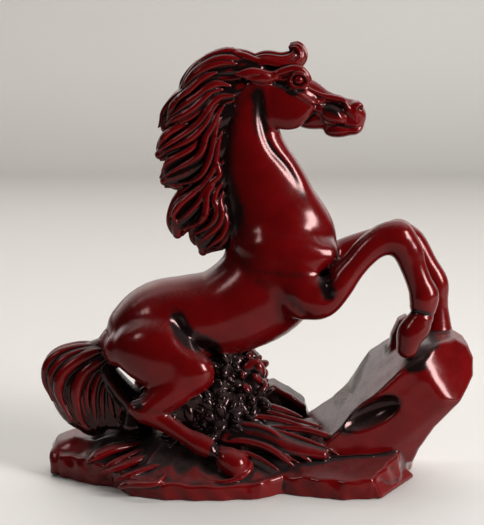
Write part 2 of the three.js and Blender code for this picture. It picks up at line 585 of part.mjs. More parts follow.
const gaskinStations = (side) => [
  [-10.6, side * STIFLE_SPREAD, 14.8, GASKIN_RADIUS, GASKIN_RADIUS - 0.3],
  [-15.0, side * STIFLE_SPREAD, 11.0, GASKIN_RADIUS - 0.4, GASKIN_RADIUS - 0.7],
  [-20.2, side * HOCK_SPREAD, 7.0, HOCK_RADIUS, HOCK_RADIUS - 0.4],
];
const hindCannonStations = (side) => [
  [-16.2, side * HOCK_SPREAD, 4.0, HIND_CANNON_RADIUS + 0.3, HIND_CANNON_RADIUS],
  [-11.2, side * (HOCK_SPREAD + 1.4), 1.0, HIND_CANNON_RADIUS, HIND_CANNON_RADIUS],
  [-6.8, side * (HIND_HOOF_SPREAD - 1.4), -1.2, HIND_FETLOCK_RADIUS, HIND_FETLOCK_RADIUS - 0.3],
  [-3.0, side * (HIND_HOOF_SPREAD - 0.5), -3.4, HIND_HOOF_RADIUS - 0.9, HIND_HOOF_RADIUS - 0.9],
  [0.2, side * HIND_HOOF_SPREAD, -4.8, HIND_HOOF_RADIUS, HIND_HOOF_RADIUS],
];

const trunk = (grow = 0) => join([
  limb(TRUNK, { grow, flatEnd: true }),
  ...[RIGHT, LEFT].flatMap((side) => [
    ellipsoid([13.2, side * (CHEST_HALF_WIDTH - 3.8), 43.0], SHOULDER_RADII, grow, -20),
    ellipsoid([15.8, side * (CHEST_HALF_WIDTH - 2.6), 36.0], UPPER_ARM_RADII, grow, 35),
  ]),
]);
const neck = (grow = 0) => limb(NECK, { grow, flatStart: true });
const head = (grow = 0) => limb(HEAD, { grow });
const forelock = (grow = 0) => limb(FORELOCK, { grow });
const ear = (side, grow = 0) => limb(EAR.map(([x, , z, h, w]) => [x, side * EAR_SPREAD, z, h, w]), { grow });
const tail = (grow = 0) => join([
  limb(TAIL, { grow }),
  limb(INNER_TAIL, { grow, points: RIDGE_POINTS, steps: 1 }),
  ...[RIGHT, LEFT].flatMap((side) => TAIL_RIBS.map(([depth, ...path]) => limb(
    path.map(([x, z], i) => [x, side * depth * TAIL_RIB_DEPTHS[i], z, TAIL_RIB_RADIUS, TAIL_RIB_RADIUS]),
    { grow, flatStart: true, points: RIB_POINTS, steps: 1, caps: 1 }))),
]);
const forearm = (name, grow = 0) => limb(FOREARMS[name], { grow });
const foreCannon = (name, grow = 0) => limb(FORE_CANNONS[name], { grow, flatEnd: true });
const thigh = (side, grow = 0) => join(
  [thighStations(side), gaskinStations(side)].map((stations) => limb(stations, { grow })));
const hindCannon = (side, grow = 0) => limb(hindCannonStations(side), { grow });

function maneLock(tier, grow = 0) {
  const stations = MANE_PATHS[tier].map(([x, z], i) => [
    x, 0, z, MANE_LOCK_HALF_HEIGHT * LOCK_TAPER[i], MANE_HALF_WIDTH * LOCK_WIDTHS[i]]);
  const ribs = [RIGHT, LEFT].flatMap((side) => MANE_RIBS[tier].map(([depth, ...path]) => limb(
    path.map(([x, z], i) => [
      x, side * depth * RIB_DEPTHS[i], z, MANE_RIB_RADIUS * RIB_RADII[i], MANE_RIB_RADIUS * RIB_RADII[i]]),
    { grow, flatStart: true, points: RIB_POINTS, steps: 1, caps: 1 })));
  return join([limb(stations, { grow }), ...ribs]);
}

function foliage(side, grow = 0) {
  return join([
    ellipsoid([-12.5, side * 8.0, 6.6], [7.0, 5.0, 7.4], grow),
    ellipsoid([-4.0, side * 8.6, 6.8], [7.4, 5.6, 6.8], grow),
    ellipsoid([4.2, side * 4.6, FOLIAGE_TOP / 2 - 1.4], [6.0, 4.2, FOLIAGE_TOP / 2 + 1.4], grow),
    ellipsoid([-4.0, side * 7.0, 0], [14.0, 7.0, 5.0], grow),
  ]);
}

const blade = (points, grow) => limb(points.map(([x, y, z], i) => [
  x, y, z,
  BLADE_HALF_THICKNESS * (1 - 0.22 * i),
  BLADE_HALF_WIDTH * (1 - 0.22 * i),
]), { grow, points: RIDGE_POINTS });

const grass = (grow = 0) => join([
  blade([[2.0, -11.0, 2.6], [8.0, -12.5, 2.0], [16.5, -14.6, -2.4]], grow),
  blade([[4.0, -10.0, 3.6], [12.0, -10.2, 2.0], [24.0, -10.6, -0.6]], grow),
  blade([[0.0, -14.0, 0.4], [6.0, -15.6, -1.6], [12.0, -17.0, -3.6]], grow),
  ellipsoid([3.0, -11.6, 0.2], [6.0, 3.4, 3.2], grow),
]);

const figurine = new THREE.Group();

function place(name, solid, look = RESIN) {
  const mesh = new THREE.Mesh(geometryOf(solid), new THREE.MeshStandardMaterial(look));
  mesh.name = name;
  figurine.add(mesh);
}

// Each piece is cut back by the ones it is bonded to, grown by the bond gap.
const g = BOND_GAP;
place('base_plinth', cut(basePlinth(), [rockOutcrop(g), hindCannon(RIGHT, g), hindCannon(LEFT, g), tail(g)]));
place('rock_outcrop', cut(rockOutcrop(), [foreCannon('right', g), foreCannon('left', g)]));
place('trunk', trunk());
place('neck', cut(neck(), [trunk(g)]));
place('head', cut(head(), [neck(g)]));
place('ear_right', cut(ear(RIGHT), [head(g), neck(g)]));
place('ear_left', cut(ear(LEFT), [head(g), neck(g)]));
place('forelock', cut(forelock(), [head(g), neck(g), ear(RIGHT, g), ear(LEFT, g)]));
MANE_PATHS.forEach((_, tier) => {
  const others = [neck(g), head(g), trunk(g), ear(RIGHT, g), ear(LEFT, g), forelock(g)];
  for (let upper = 0; upper < tier; upper += 1) others.push(maneLock(upper, g));
  place(`mane_lock_${tier + 1}`, cut(maneLock(tier), others));
});
place('tail', cut(tail(), [trunk(g), thigh(RIGHT, g), thigh(LEFT, g)]));
['right', 'left'].forEach((name) => {
  place(`${name}_forearm`, cut(forearm(name), [trunk(g), neck(g)]));
  place(`${name}_fore_cannon`, cut(foreCannon(name), [forearm(name, g)]));
});
[['right', RIGHT], ['left', LEFT]].forEach(([name, side]) => {
  place(`${name}_thigh`, cut(thigh(side), [trunk(g)]));
  place(`${name}_hind_cannon`, cut(hindCannon(side), [thigh(side, g)]));
});
const setting = [
  basePlinth(g), trunk(g), rockOutcrop(g),
  thigh(RIGHT, g), thigh(LEFT, g), hindCannon(RIGHT, g), hindCannon(LEFT, g),
];
place('foliage_near', cut(foliage(RIGHT), setting), DARK_RESIN);
place('foliage_far', cut(foliage(LEFT), [...setting, foliage(RIGHT, g)]), DARK_RESIN);
place('rear_rock', cut(rearRock(), [...setting, foliage(LEFT, g)]), DARK_RESIN);
place('grass_near', cut(grass(), [...setting, foliage(RIGHT, g)]), DARK_RESIN);

export default figurine;
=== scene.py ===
"""A glossy red resin figurine of a rearing horse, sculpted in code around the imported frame.

Every piece is a field of signed distances in mm, negative inside, built from ellipsoids, tapered tubes and
strands of hair. The fields join into one smooth surface, and each piece is meshed from its share of it.
X is the way the horse faces, its right side is toward -Y, and Z is up. Paths of x and z lie in the side view.
"""

import math
from concurrent.futures import ThreadPoolExecutor
from dataclasses import dataclass

import bpy
import numpy as np
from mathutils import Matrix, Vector


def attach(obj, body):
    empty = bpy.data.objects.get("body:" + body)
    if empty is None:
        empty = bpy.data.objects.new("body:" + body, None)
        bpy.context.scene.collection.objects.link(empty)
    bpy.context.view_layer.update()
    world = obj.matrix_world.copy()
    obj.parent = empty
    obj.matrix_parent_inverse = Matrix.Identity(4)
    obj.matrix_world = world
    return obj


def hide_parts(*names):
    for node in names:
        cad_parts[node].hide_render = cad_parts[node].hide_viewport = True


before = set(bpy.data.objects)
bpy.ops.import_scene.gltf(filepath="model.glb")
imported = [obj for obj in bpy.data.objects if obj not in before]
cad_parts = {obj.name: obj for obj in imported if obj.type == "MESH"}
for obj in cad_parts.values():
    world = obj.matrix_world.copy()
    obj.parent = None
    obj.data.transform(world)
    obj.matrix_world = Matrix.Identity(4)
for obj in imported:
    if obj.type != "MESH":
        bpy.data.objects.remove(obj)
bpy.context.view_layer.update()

MM = 0.001
FAR = 8.0
TINY = 1e-6
SIDES = ((-1, "right"), (1, "left"))

# The photo's size in pixels, and its camera, fitted to the base's outline: pitch, distance and scale in mm
PICTURE_WIDTH, PICTURE_HEIGHT = 484, 525
ORIGIN_U, ORIGIN_V = 232.0, 473.5
CAMERA_PITCH = math.radians(10)
CAMERA_DISTANCE, PIXELS_PER_MM = 400.0, 4.0
FOCAL_PIXELS = CAMERA_DISTANCE * PIXELS_PER_MM
RIGHT = np.array([1.0, 0.0, 0.0])
UP = np.array([0.0, math.sin(CAMERA_PITCH), math.cos(CAMERA_PITCH)])
BACK = np.array([0.0, -math.cos(CAMERA_PITCH), math.sin(CAMERA_PITCH)])
CAMERA_AIM = (RIGHT * (PICTURE_WIDTH / 2 - ORIGIN_U) + UP * (ORIGIN_V - PICTURE_HEIGHT / 2)) / PIXELS_PER_MM
CAMERA_AT = CAMERA_AIM + BACK * CAMERA_DISTANCE

COARSE = 1.0
BODY_STEP = 0.40 * COARSE
BASE_STEP = 0.36 * COARSE
HAIR_STEP = 0.25 * COARSE

# What pieces of one kind share: lattice step, reach round the piece, rounds of smoothing and so on
BODY = dict(step=BODY_STEP, pad=6.0, smooth=2)
UPPER_LEG = dict(step=BODY_STEP, pad=3.0, smooth=2)
LOWER_LEG = dict(step=BODY_STEP * 0.85, pad=2.4, smooth=1)
GROUND = dict(step=BASE_STEP, pad=2.4)
HAIR = dict(step=HAIR_STEP, pad=1.3, painted=False)
PLANT = dict(step=HAIR_STEP * 1.1, pad=1.3, painted=False, slot="dark_resin")

# How far a piece's mesh runs on inside its neighbour, and how deep it lies there
OVERLAP = 0.9
SINK = 0.3


def lift(pixels, y):
    """The x and z, to a tenth of a mm, of what the photo shows at each pixel, if it lies at that y."""
    out = []
    for u, v in pixels:
        ray = RIGHT * (u - PICTURE_WIDTH / 2) + UP * (PICTURE_HEIGHT / 2 - v) - BACK * FOCAL_PIXELS
        x, _, z = CAMERA_AT + ray * (y - CAMERA_AT[1]) / ray[1]
        out.append((round(float(x), 1), round(float(z), 1)))
    return out


def dense(rows, per):
    """A smooth curve through the rows, with per points between two of them."""
    rows = np.asarray(rows, float)
    p = np.vstack([2 * rows[0] - rows[1], rows, 2 * rows[-1] - rows[-2]])
    t = np.linspace(0, 1, per, endpoint=False)[:, None]
    out = []
    for a, b, c, d in zip(p, p[1:], p[2:], p[3:]):
        bend, twist = 2 * a - 5 * b + 4 * c - d, 3 * b - a - 3 * c + d
        out.append(0.5 * (2 * b + (c - a) * t + bend * t**2 + twist * t**3))
    return np.vstack(out + [rows[-1:]])


def smin(a, b, k):
    """The lower of two fields, blended where they are less than k apart."""
    if k <= 0:
        return np.minimum(a, b)
    h = np.maximum(k - np.abs(a - b), 0) / k
    return np.minimum(a, b) - h * h * (k / 4)


def smax(a, b, k):
    return -smin(-a, -b, k)


def ramp(value, start, end):
    """From 0 at start to 1 at end."""
    return np.clip((value - start) / (end - start), 0, 1)


def polygon(outline, u, v):
    """Signed distance to a closed outline, over a column u and a row v."""
    best = np.full(np.broadcast(u, v).shape, 1e9)
    odd = np.zeros(best.shape, bool)
    for i in range(len(outline)):
        ax, ay = outline[i - 1]
        bx, by = outline[i]
        ex, ey = bx - ax, by - ay
        t = np.clip(((u - ax) * ex + (v - ay) * ey) / (ex * ex + ey * ey), 0, 1)
        best = np.minimum(best, (u - ax - t * ex) ** 2 + (v - ay - t * ey) ** 2)
        if ay != by:
            odd ^= ((ay > v) != (by > v)) & (u < ex * (v - ay) / ey + ax)
    return np.where(odd, -1, 1) * np.sqrt(best)


def path_distance(path, u, v):
    """Distance to an open path, and how far along it the nearest place is, from 0 to 1."""
    path = dense(path, 6)
    best = np.full(np.broadcast(u, v).shape, 1e9, np.float32)
    share = np.zeros(best.shape, np.float32)
    for i in range(len(path) - 1):
        ax, ay = path[i]
        ex, ey = path[i + 1] - path[i]
        t = np.clip(((u - ax) * ex + (v - ay) * ey) / (ex * ex + ey * ey + 1e-9), 0, 1)
        d = (u - ax - t * ex) ** 2 + (v - ay - t * ey) ** 2
        closer = d < best
        best = np.where(closer, d, best)
        share = np.where(closer, (i + t) / (len(path) - 1), share)
    return np.sqrt(best), share


def ripple(x, y, z):
    """Uneven low waves, as on hand-carved rock."""
    return (
        np.sin(x * 0.9 + 1.7 * np.sin(z * 0.35)) * np.sin(y * 0.8 + 0.6 * z)
        + 0.6 * np.sin(z * 1.3 + 1.1 * np.sin(x * 0.5)) * np.sin(x * 0.6 - y * 0.7)
    )


class Grid:
    """A regular lattice whose points are whole multiples of the step, so that all grids of one step match."""

    def __init__(self, low, high, step):
        self.first = np.floor(low / step).astype(int)
        self.shape = tuple(np.ceil(high / step).astype(int) - self.first + 1)
        self.axes = [((self.first[i] + np.arange(self.shape[i])) * step).astype(np.float32) for i in range(3)]

    def inside(self, low, high):
        """The slices that a box takes, and its x, y and z, each along its own axis."""
        slices = []
        for axis, start, end in zip(self.axes, low, high):
            a, b = int(np.searchsorted(axis, start)), int(np.searchsorted(axis, end, side="right"))
            if a >= b:
                return None
            slices.append(slice(a, b))
        return tuple(slices), *np.ix_(*[axis[s] for axis, s in zip(self.axes, slices)])


class Shape:
    """A form with a box from low to high."""

    def fill(self, grid, pad):
        """The slices round the form, and its signed distances there."""
        found = grid.inside(self.low - pad, self.high + pad)
        if found is None:
            return None
        return found[0], self.distance(*found[1:]).astype(np.float32)


class Ball(Shape):
    """An ellipsoid, turned in the side view by turn degrees and seen from above by yaw degrees."""

    def __init__(self, centre, radii, turn=0.0, yaw=0.0):
        self.c = np.asarray(centre, float)
        self.r = np.asarray(radii, float)
        a, b = math.radians(turn), math.radians(yaw)
        tip = np.array([[math.cos(a), 0, math.sin(a)], [0, 1, 0], [-math.sin(a), 0, math.cos(a)]])
        spin = np.array([[math.cos(b), math.sin(b), 0], [-math.sin(b), math.cos(b), 0], [0, 0, 1]])
        self.m = tip @ spin
        reach = np.sqrt(((self.m.T * self.r) ** 2).sum(1))
        self.low, self.high = self.c - reach, self.c + reach

    def scaled(self, x, y, z):
        """Coordinates in which the ellipsoid has radius 1."""
        x, y, z = x - self.c[0], y - self.c[1], z - self.c[2]
        return [(row[0] * x + row[1] * y + row[2] * z) / r for row, r in zip(self.m, self.r)]

    def distance(self, x, y, z):
        u, v, w = self.scaled(x, y, z)
        k0 = np.sqrt(u * u + v * v + w * w)
        k1 = np.sqrt((u / self.r[0]) ** 2 + (v / self.r[1]) ** 2 + (w / self.r[2]) ** 2) + TINY
        return k0 * (k0 - 1) / k1


class Tube:
    """A tapered tube on a smooth path: rows of x, y, z, half height and, unless it is round, half width."""

    def __init__(self, rows, per=5):
        table = dense(rows, per)
        self.p = table[:, :3]
        self.round = table.shape[1] == 4
        self.h = np.maximum(table[:, 3], 0.02)
        self.w = self.h if self.round else np.maximum(table[:, 4], 0.02)
        widest = np.maximum(self.h, self.w)[:, None]
        self.low, self.high = (self.p - widest).min(0), (self.p + widest).max(0)

    def fill(self, grid, pad):
        found = grid.inside(self.low - pad, self.high + pad)
        if found is None:
            return None
        where = found[0]
        near = np.full([s.stop - s.start for s in where], 1e9, np.float32)
        out = np.full(near.shape, FAR, np.float32)
        for j in range(len(self.p) - 1):
            a, b = self.p[j], self.p[j + 1]
            reach = max(*self.h[j : j + 2], *self.w[j : j + 2]) + pad
            low = np.maximum(np.minimum(a, b) - reach, self.low - pad)
            sub = grid.inside(low, np.minimum(np.maximum(a, b) + reach, self.high + pad))
            if sub is None:
                continue
            here = tuple(slice(s.start - o.start, s.stop - o.start) for s, o in zip(sub[0], where))
            dist, value = self.stretch(j, *sub[1:])
            closer = dist < near[here]
            near[here] = np.where(closer, dist, near[here])
            out[here] = np.where(closer, value, out[here])
        return where, out

    def stretch(self, j, x, y, z):
        """Squared distance to the path from point j to the next, and signed distance to the tube there."""
        a, d = self.p[j], self.p[j + 1] - self.p[j]
        long = float(d @ d) + 1e-9
        x, y, z = x - np.float32(a[0]), y - np.float32(a[1]), z - np.float32(a[2])
        u = np.clip((x * d[0] + y * d[1] + z * d[2]) / long, 0, 1).astype(np.float32)
        px, py, pz = x - u * d[0], y - u * d[1], z - u * d[2]
        dist = px * px + py * py + pz * pz
        h, w = (r[j] + (r[j + 1] - r[j]) * u for r in (self.h, self.w))
        if self.round:
            return dist, np.sqrt(dist) - h
        side = np.array([0.0, 1.0, 0.0]) - d * d[1] / long
        side /= np.linalg.norm(side)
        across = (px * side[0] + py * side[1] + pz * side[2]) ** 2
        along = np.maximum(dist - across, 0)
        h2, w2 = h**2, w**2
        k0 = np.sqrt(along / h2 + across / w2)
        k1 = np.sqrt(along / (h2 * h2) + across / (w2 * w2)) + TINY
        return dist, k0 * (k0 - 1) / k1


class Plate(Shape):
    """An outline in the side view, from y0 to y1, rounded by k and cut by planes of a point and a normal."""

    def __init__(self, outline, y0, y1, k, planes=(), wobble=0.0):
        self.o = np.asarray(outline, float)
        self.middle, self.half = (y0 + y1) / 2, (y1 - y0) / 2
        self.k, self.planes, self.wobble = k, planes, wobble
        low, high = self.o.min(0), self.o.max(0)
        self.low = np.array([low[0], y0, low[1]])
        self.high = np.array([high[0], y1, high[1]])

    def distance(self, x, y, z):
        flat = polygon(self.o, x[:, :, 0], z[0])[:, None, :]
        value = smax(flat, np.abs(y - self.middle) - self.half, self.k)
        for point, normal in self.planes:
            n = np.asarray(normal, float)
            n /= np.linalg.norm(n)
            above = (x - point[0]) * n[0] + (y - point[1]) * n[1] + (z - point[2]) * n[2]
            value = smax(value, above, self.k * 0.6)
        if self.wobble:
            value = value + self.wobble * ripple(x, y, z)
        return value


class Line:
    """A groove (depth above 0) or ridge (below 0) along a path in the side view, where y is below far.

    If both, the other side of the body has it too.
    """

    def __init__(self, path, depth, width, far, both=True):
        self.path, self.depth, self.width = np.asarray(path, float), depth, width
        self.far, self.both = far, both

    def carve(self, grid, field):
        low, high = self.path.min(0) - 2.6 * self.width, self.path.max(0) + 2.6 * self.width
        found = grid.inside((low[0], -99, low[1]), (high[0], 99, high[1]))
        if found is None:
            return
        where, x, y, z = found
        d, share = path_distance(self.path, x[:, :, 0], z[0])
        fade = np.clip(share * 6, 0, 1) * np.clip((1 - share) * 6, 0, 1)
        mark = (self.depth * np.exp(-((d / self.width) ** 2)) * (0.25 + 0.75 * fade))[:, None, :]
        y = -np.abs(y) if self.both else y
        field[where] += (mark * np.clip((self.far - y) / 0.6, 0, 1)).astype(np.float32)


class Dent:
    """A soft hollow round a point, and the same on the other side of the body."""

    def __init__(self, centre, radii, depth, turn=0.0):
        x, y, z = centre
        self.balls = [Ball((x, s * y, z), radii, turn) for s in (1, -1)]
        self.depth = depth

    def carve(self, grid, field):
        for ball in self.balls:
            reach = ball.r.max() * 2.2
            found = grid.inside(ball.c - reach, ball.c + reach)
            if found is None:
                continue
            u, v, w = ball.scaled(*found[1:])
            field[found[0]] += (self.depth * np.exp(-(u * u + v * v + w * w))).astype(np.float32)


@dataclass(eq=False)
class Part:
    """One piece: its shapes, how softly it joins the others, its lattice and how much black wash it holds."""

    name: str
    ops: list
    soft: float
    step: float
    pad: float = 2.0
    smooth: int = 0
    slot: str = "red_resin"
    wash: float = 0.0
    cavity: float = 1.0
    painted: bool = True

    def __post_init__(self):
        self.low = np.min([shape.low for join, shape, k in self.ops if join is smin], 0)
        self.high = np.max([shape.high for join, shape, k in self.ops if join is smin], 0)

    def field(self, step):
        grid = Grid(self.low - self.pad, self.high + self.pad, step)
        field = np.full(grid.shape, FAR, np.float32)
        for join, shape, k in self.ops:
            made = shape.fill(grid, self.pad)
            if made is None:
                continue
            where, value = made
            field[where] = join(field[where], value if join is smin else -value, k)
        return grid.first, field


PARTS = []


def part(name, ops, soft, **more):
    PARTS.append(Part(name, ops, soft, **more))


def add(shape, k=0.0):
    return smin, shape, k


def cut(shape, k=0.0):
    return smax, shape, k


def mirrored(rows, side):
    """Rows that start with x and y, on the side of the body that side names by its sign."""
    return [(x, side * y, *rest) for x, y, *rest in rows]


def twins(centre, radii, k, turn=0.0, yaw=0.0, join=add):
    """The same ellipsoid on both sides of the body."""
    x, y, z = centre
    return [join(Ball((x, s * y, z), radii, turn, s * yaw), k) for s in (-1, 1)]


def limb(rows, k=0.0, per=5, y=0.0):
    """A tapered tube that stays at one y, from rows of x, z, half height and half width."""
    return add(Tube([(x, y, z, h, w) for x, z, h, w in rows], per), k)


# The share of a strand's length over which it swells from its root, and over which it thins to its tip
SWELL, THIN = 0.22, 0.45


def strand(path, radius, start=0.6, end=0.25, per=3):
    """One round strand along a path of x, y, z, swelling to its radius and thinning to its tip."""
    path = np.asarray(path, float)
    t = np.linspace(0, 1, len(path))
    swell = np.clip(t / SWELL, 0, 1) ** 0.6
    thin = np.clip((1 - t) / THIN, 0, 1) ** 0.6
    r = radius * (start + (1 - start) * swell) * (end + (1 - end) * thin)
    return Tube(np.column_stack([path, r]), per)


# Body

TRUNK = [
    (-27.6, 32.8, 5.4, 5.0), (-24.0, 35.4, 8.4, 8.8), (-17.7, 38.5, 10.4, 10.2), (-10.3, 39.7, 10.7, 10.2),
    (-2.4, 41.2, 11.0, 10.2), (6.1, 45.9, 12.5, 10.2), (11.0, 52.4, 13.0, 9.6), (12.3, 59.2, 12.6, 8.8),
]
SHOULDER_ROLL = [
    (4.0, 5.2, 58.4, 2.2, 2.4), (8.0, 6.6, 58.2, 3.2, 2.8), (13.0, 7.2, 57.6, 3.7, 3.1),
    (19.0, 6.8, 56.9, 3.7, 3.2), (22.4, 5.6, 56.6, 3.3, 3.2),
]
part(
    "trunk",
    [limb(TRUNK)]
    + twins((13.2, 6.2, 55.6), (9.4, 4.4, 9.2), 2.5, -20)
    + twins((15.8, 7.4, 48.6), (5.6, 3.8, 6.4), 2.5, 35)
    + twins((20.6, 4.2, 54.6), (5.4, 4.4, 5.8), 2.0, 10)
    + [add(Tube(mirrored(SHOULDER_ROLL, s), 4), 2.0) for s in (-1, 1)]
    + twins((17.5, 7.6, 47.6), (5.4, 3.6, 6.6), 1.2, 35),
    0,
    **BODY,
)
NECK = [
    (12.6, 55.6, 12.4, 8.4), (12.2, 59.6, 12.2, 7.7), (9.2, 66.5, 11.4, 6.4), (6.9, 73.8, 10.0, 5.9),
    (5.0, 79.9, 8.3, 5.4), (4.2, 86.2, 6.3, 4.8), (4.8, 92.0, 5.4, 4.3), (6.2, 96.0, 4.4, 4.0),
]
WINDPIPE = [
    (8.9, 88.5, 2.3, 2.2), (9.4, 83.6, 2.4, 2.5), (11.9, 78.6, 2.5, 2.8), (15.2, 73.4, 2.6, 3.1),
    (17.4, 68.4, 2.5, 3.2), (18.2, 64.0, 2.2, 3.0),
]
part("neck", [limb(NECK), limb(WINDPIPE, 2.4)], 2.8, **BODY)

HEAD = [
    (8.6, 94.6, 5.6, 4.0), (13.0, 93.8, 6.0, 3.9), (17.6, 93.0, 5.4, 3.5), (21.6, 91.4, 4.3, 2.8),
    (25.4, 90.2, 4.0, 2.6), (28.4, 89.2, 3.9, 2.7),
]
FACIAL_CREST = [
    (11.0, 92.8, 2.4, 4.6), (15.0, 92.4, 2.3, 4.6), (19.0, 91.6, 2.0, 4.0), (23.0, 91.0, 1.6, 3.4),
    (27.0, 90.4, 1.3, 3.0),
]
EYE = (15.9, 4.1, 98.2)
SOCKET = (15.9, 5.4, 98.2)
CREST_LINE = [(12.6, 4.1, 96.2), (15.8, 4.2, 94.6), (19.0, 3.9, 93.0), (20.6, 3.5, 92.2)]
NOSE_LINE = [
    (18.4, 3.3, 96.0), (21.4, 3.0, 94.6), (24.6, 2.7, 94.0), (27.0, 2.6, 93.2), (28.2, 2.7, 90.8),
    (29.8, 2.5, 88.6),
]
BROW = [(9.0, 3.6, 99.2), (12.0, 3.9, 100.2), (14.8, 3.9, 100.9), (17.2, 3.6, 100.2), (18.8, 3.2, 98.2)]
LIDS = [
    (13.7, 4.2, 97.9), (14.4, 4.7, 99.3), (15.9, 4.9, 99.9), (17.4, 4.6, 99.2), (18.0, 4.1, 97.8),
    (17.1, 4.5, 96.7), (15.6, 4.7, 96.3), (14.2, 4.6, 96.9), (13.7, 4.2, 97.9),
]


def cords(rows, radius, k, thin=0.4):
    """A raised line on both sides of the head."""
    return [add(strand(dense(mirrored(rows, s), 3), radius, thin, thin, 1), k) for s in (-1, 1)]


part(
    "head",
    [limb(HEAD)]
    + twins((13.4, 2.8, 92.2), (6.6, 2.1, 6.0), 0.8)
    + [limb(FACIAL_CREST, 0.6, 4)]
    + twins((15.6, 2.6, 98.2), (3.2, 1.9, 2.6), 1.0, 10)
    + twins((24.3, 2.5, 89.7), (3.3, 1.7, 2.3), 0.25, -24)
    + twins((29.6, 1.9, 91.2), (2.1, 1.3, 1.7), 0.5, 30)
    + [
        add(Ball((26.6, 0, 86.3), (4.4, 2.5, 2.1), 10), 0.8),
        add(Ball((20.4, 0, 88.6), (5.2, 2.3, 2.5), 4), 1.2),
        add(Ball((29.6, 0, 87.0), (2.0, 2.5, 2.2)), 0.8),
        add(Ball((29.4, 0, 90.4), (2.2, 2.4, 2.9), 30), 0.8),
        add(Ball((12.6, 0, 98.4), (5.0, 3.2, 2.3), -4), 1.2),
    ]
    + cords(BROW, 0.95, 0.6)
    + cords(CREST_LINE, 0.55, 0.6)
    + cords(NOSE_LINE, 0.5, 0.5)
    + twins(SOCKET, (2.7, 1.5, 2.4), 0.4, join=cut)
    + cords(LIDS, 0.42, 0.15, 1.0)
    + twins(EYE, (1.15, 0.95, 1.1), 0.05)
    + twins((30.9, 3.3, 91.6), (0.75, 0.9, 0.55), 0.3, 40, join=cut),
    1.4,
    step=HAIR_STEP * 0.8,
    pad=3.6,
    smooth=1,
)
EAR = [
    (10.2, 3.4, 98.6, 1.2, 0.9), (7.8, 4.0, 98.9, 1.7, 1.2),
    (4.6, 4.6, 99.6, 1.6, 1.1), (1.2, 4.8, 99.6, 0.5, 0.4),
]
for side, word in SIDES:
    hollow = cut(Ball((5.6, side * 5.9, 99.0), (2.6, 0.8, 0.55), 8), 0.3)
    part(f"ear_{word}", [add(Tube(mirrored(EAR, side), 4)), hollow], 0.7, step=HAIR_STEP, pad=1.6)

# Hair


def lock(path, heights, widths, count, radius, seed, twist=0.5, core=0.8, sideways=2.0):
    """A curl of hair on a path in the side view: strands round a core that narrows to the tip.

    Strands that face more to the side than sideways are left out.
    """
    rng = np.random.default_rng(seed)
    table = dense([(x, 0, z, h, w) for (x, z), h, w in zip(path, heights, widths)], 3)
    centre, h, w = table[:, :3], table[:, 3], table[:, 4]
    along = np.gradient(centre, axis=0)
    along /= np.linalg.norm(along, axis=1)[:, None]
    normal = np.column_stack([-along[:, 2], np.zeros(len(along)), along[:, 0]])
    ops = [add(Tube(np.column_stack([centre, h * core, w * core]), 1))]
    t = np.linspace(0, 1, len(centre))
    for i in range(count):
        angle = 2 * math.pi * (i + 0.5) / count + rng.uniform(-0.07, 0.07)
        angle = angle + twist * (t - 0.4) + 0.16 * np.sin(t * 5 + rng.uniform(0, 6))
        hold = 1 - 0.15 * rng.uniform(0.2, 1.0)
        reach = rng.uniform(0.86, 1.08)
        size = radius * rng.uniform(0.82, 1.18)
        if abs(math.cos(angle.mean())) > sideways:
            continue
        p = centre + normal * (h * np.sin(angle) * hold)[:, None]
        p[:, 1] += w * np.cos(angle) * hold
        p = p[: max(4, int(round(len(p) * min(reach, 1.0))))]
        if reach > 1:
            p[-1] += along[-1] * (reach - 1) * 12
        ops.append(add(strand(p, size), 0.12))
    return ops


MANE = [
    [(6.4, 100.6), (1.4, 101.2), (-4.6, 100.2), (-9.4, 97.4), (-12.2, 94.4)],
    [(2.6, 96.2), (-4.4, 94.4), (-10.1, 91.4), (-14.0, 88.8), (-15.9, 86.4)],
    [(1.4, 91.0), (-5.0, 88.0), (-11.1, 84.4), (-15.0, 81.9), (-17.4, 80.0)],
    [(0.0, 84.2), (-5.6, 80.0), (-11.2, 76.6), (-14.6, 74.6), (-16.2, 73.6)],
    [(-0.6, 77.0), (-5.6, 72.0), (-10.0, 67.4), (-12.6, 63.6), (-13.2, 60.6)],
    [(0.2, 69.6), (-3.4, 64.0), (-6.0, 59.2), (-7.0, 56.4)],
]
# Half height and half width along a lock, and the top lock's share of that height
MANE_HEIGHT = np.array([3.5, 4.7, 4.6, 3.2, 1.5])
MANE_WIDTH = 4.6 * np.array([0.92, 0.96, 0.84, 0.62, 0.36])
TOP_LOCK_SHARE = 0.86
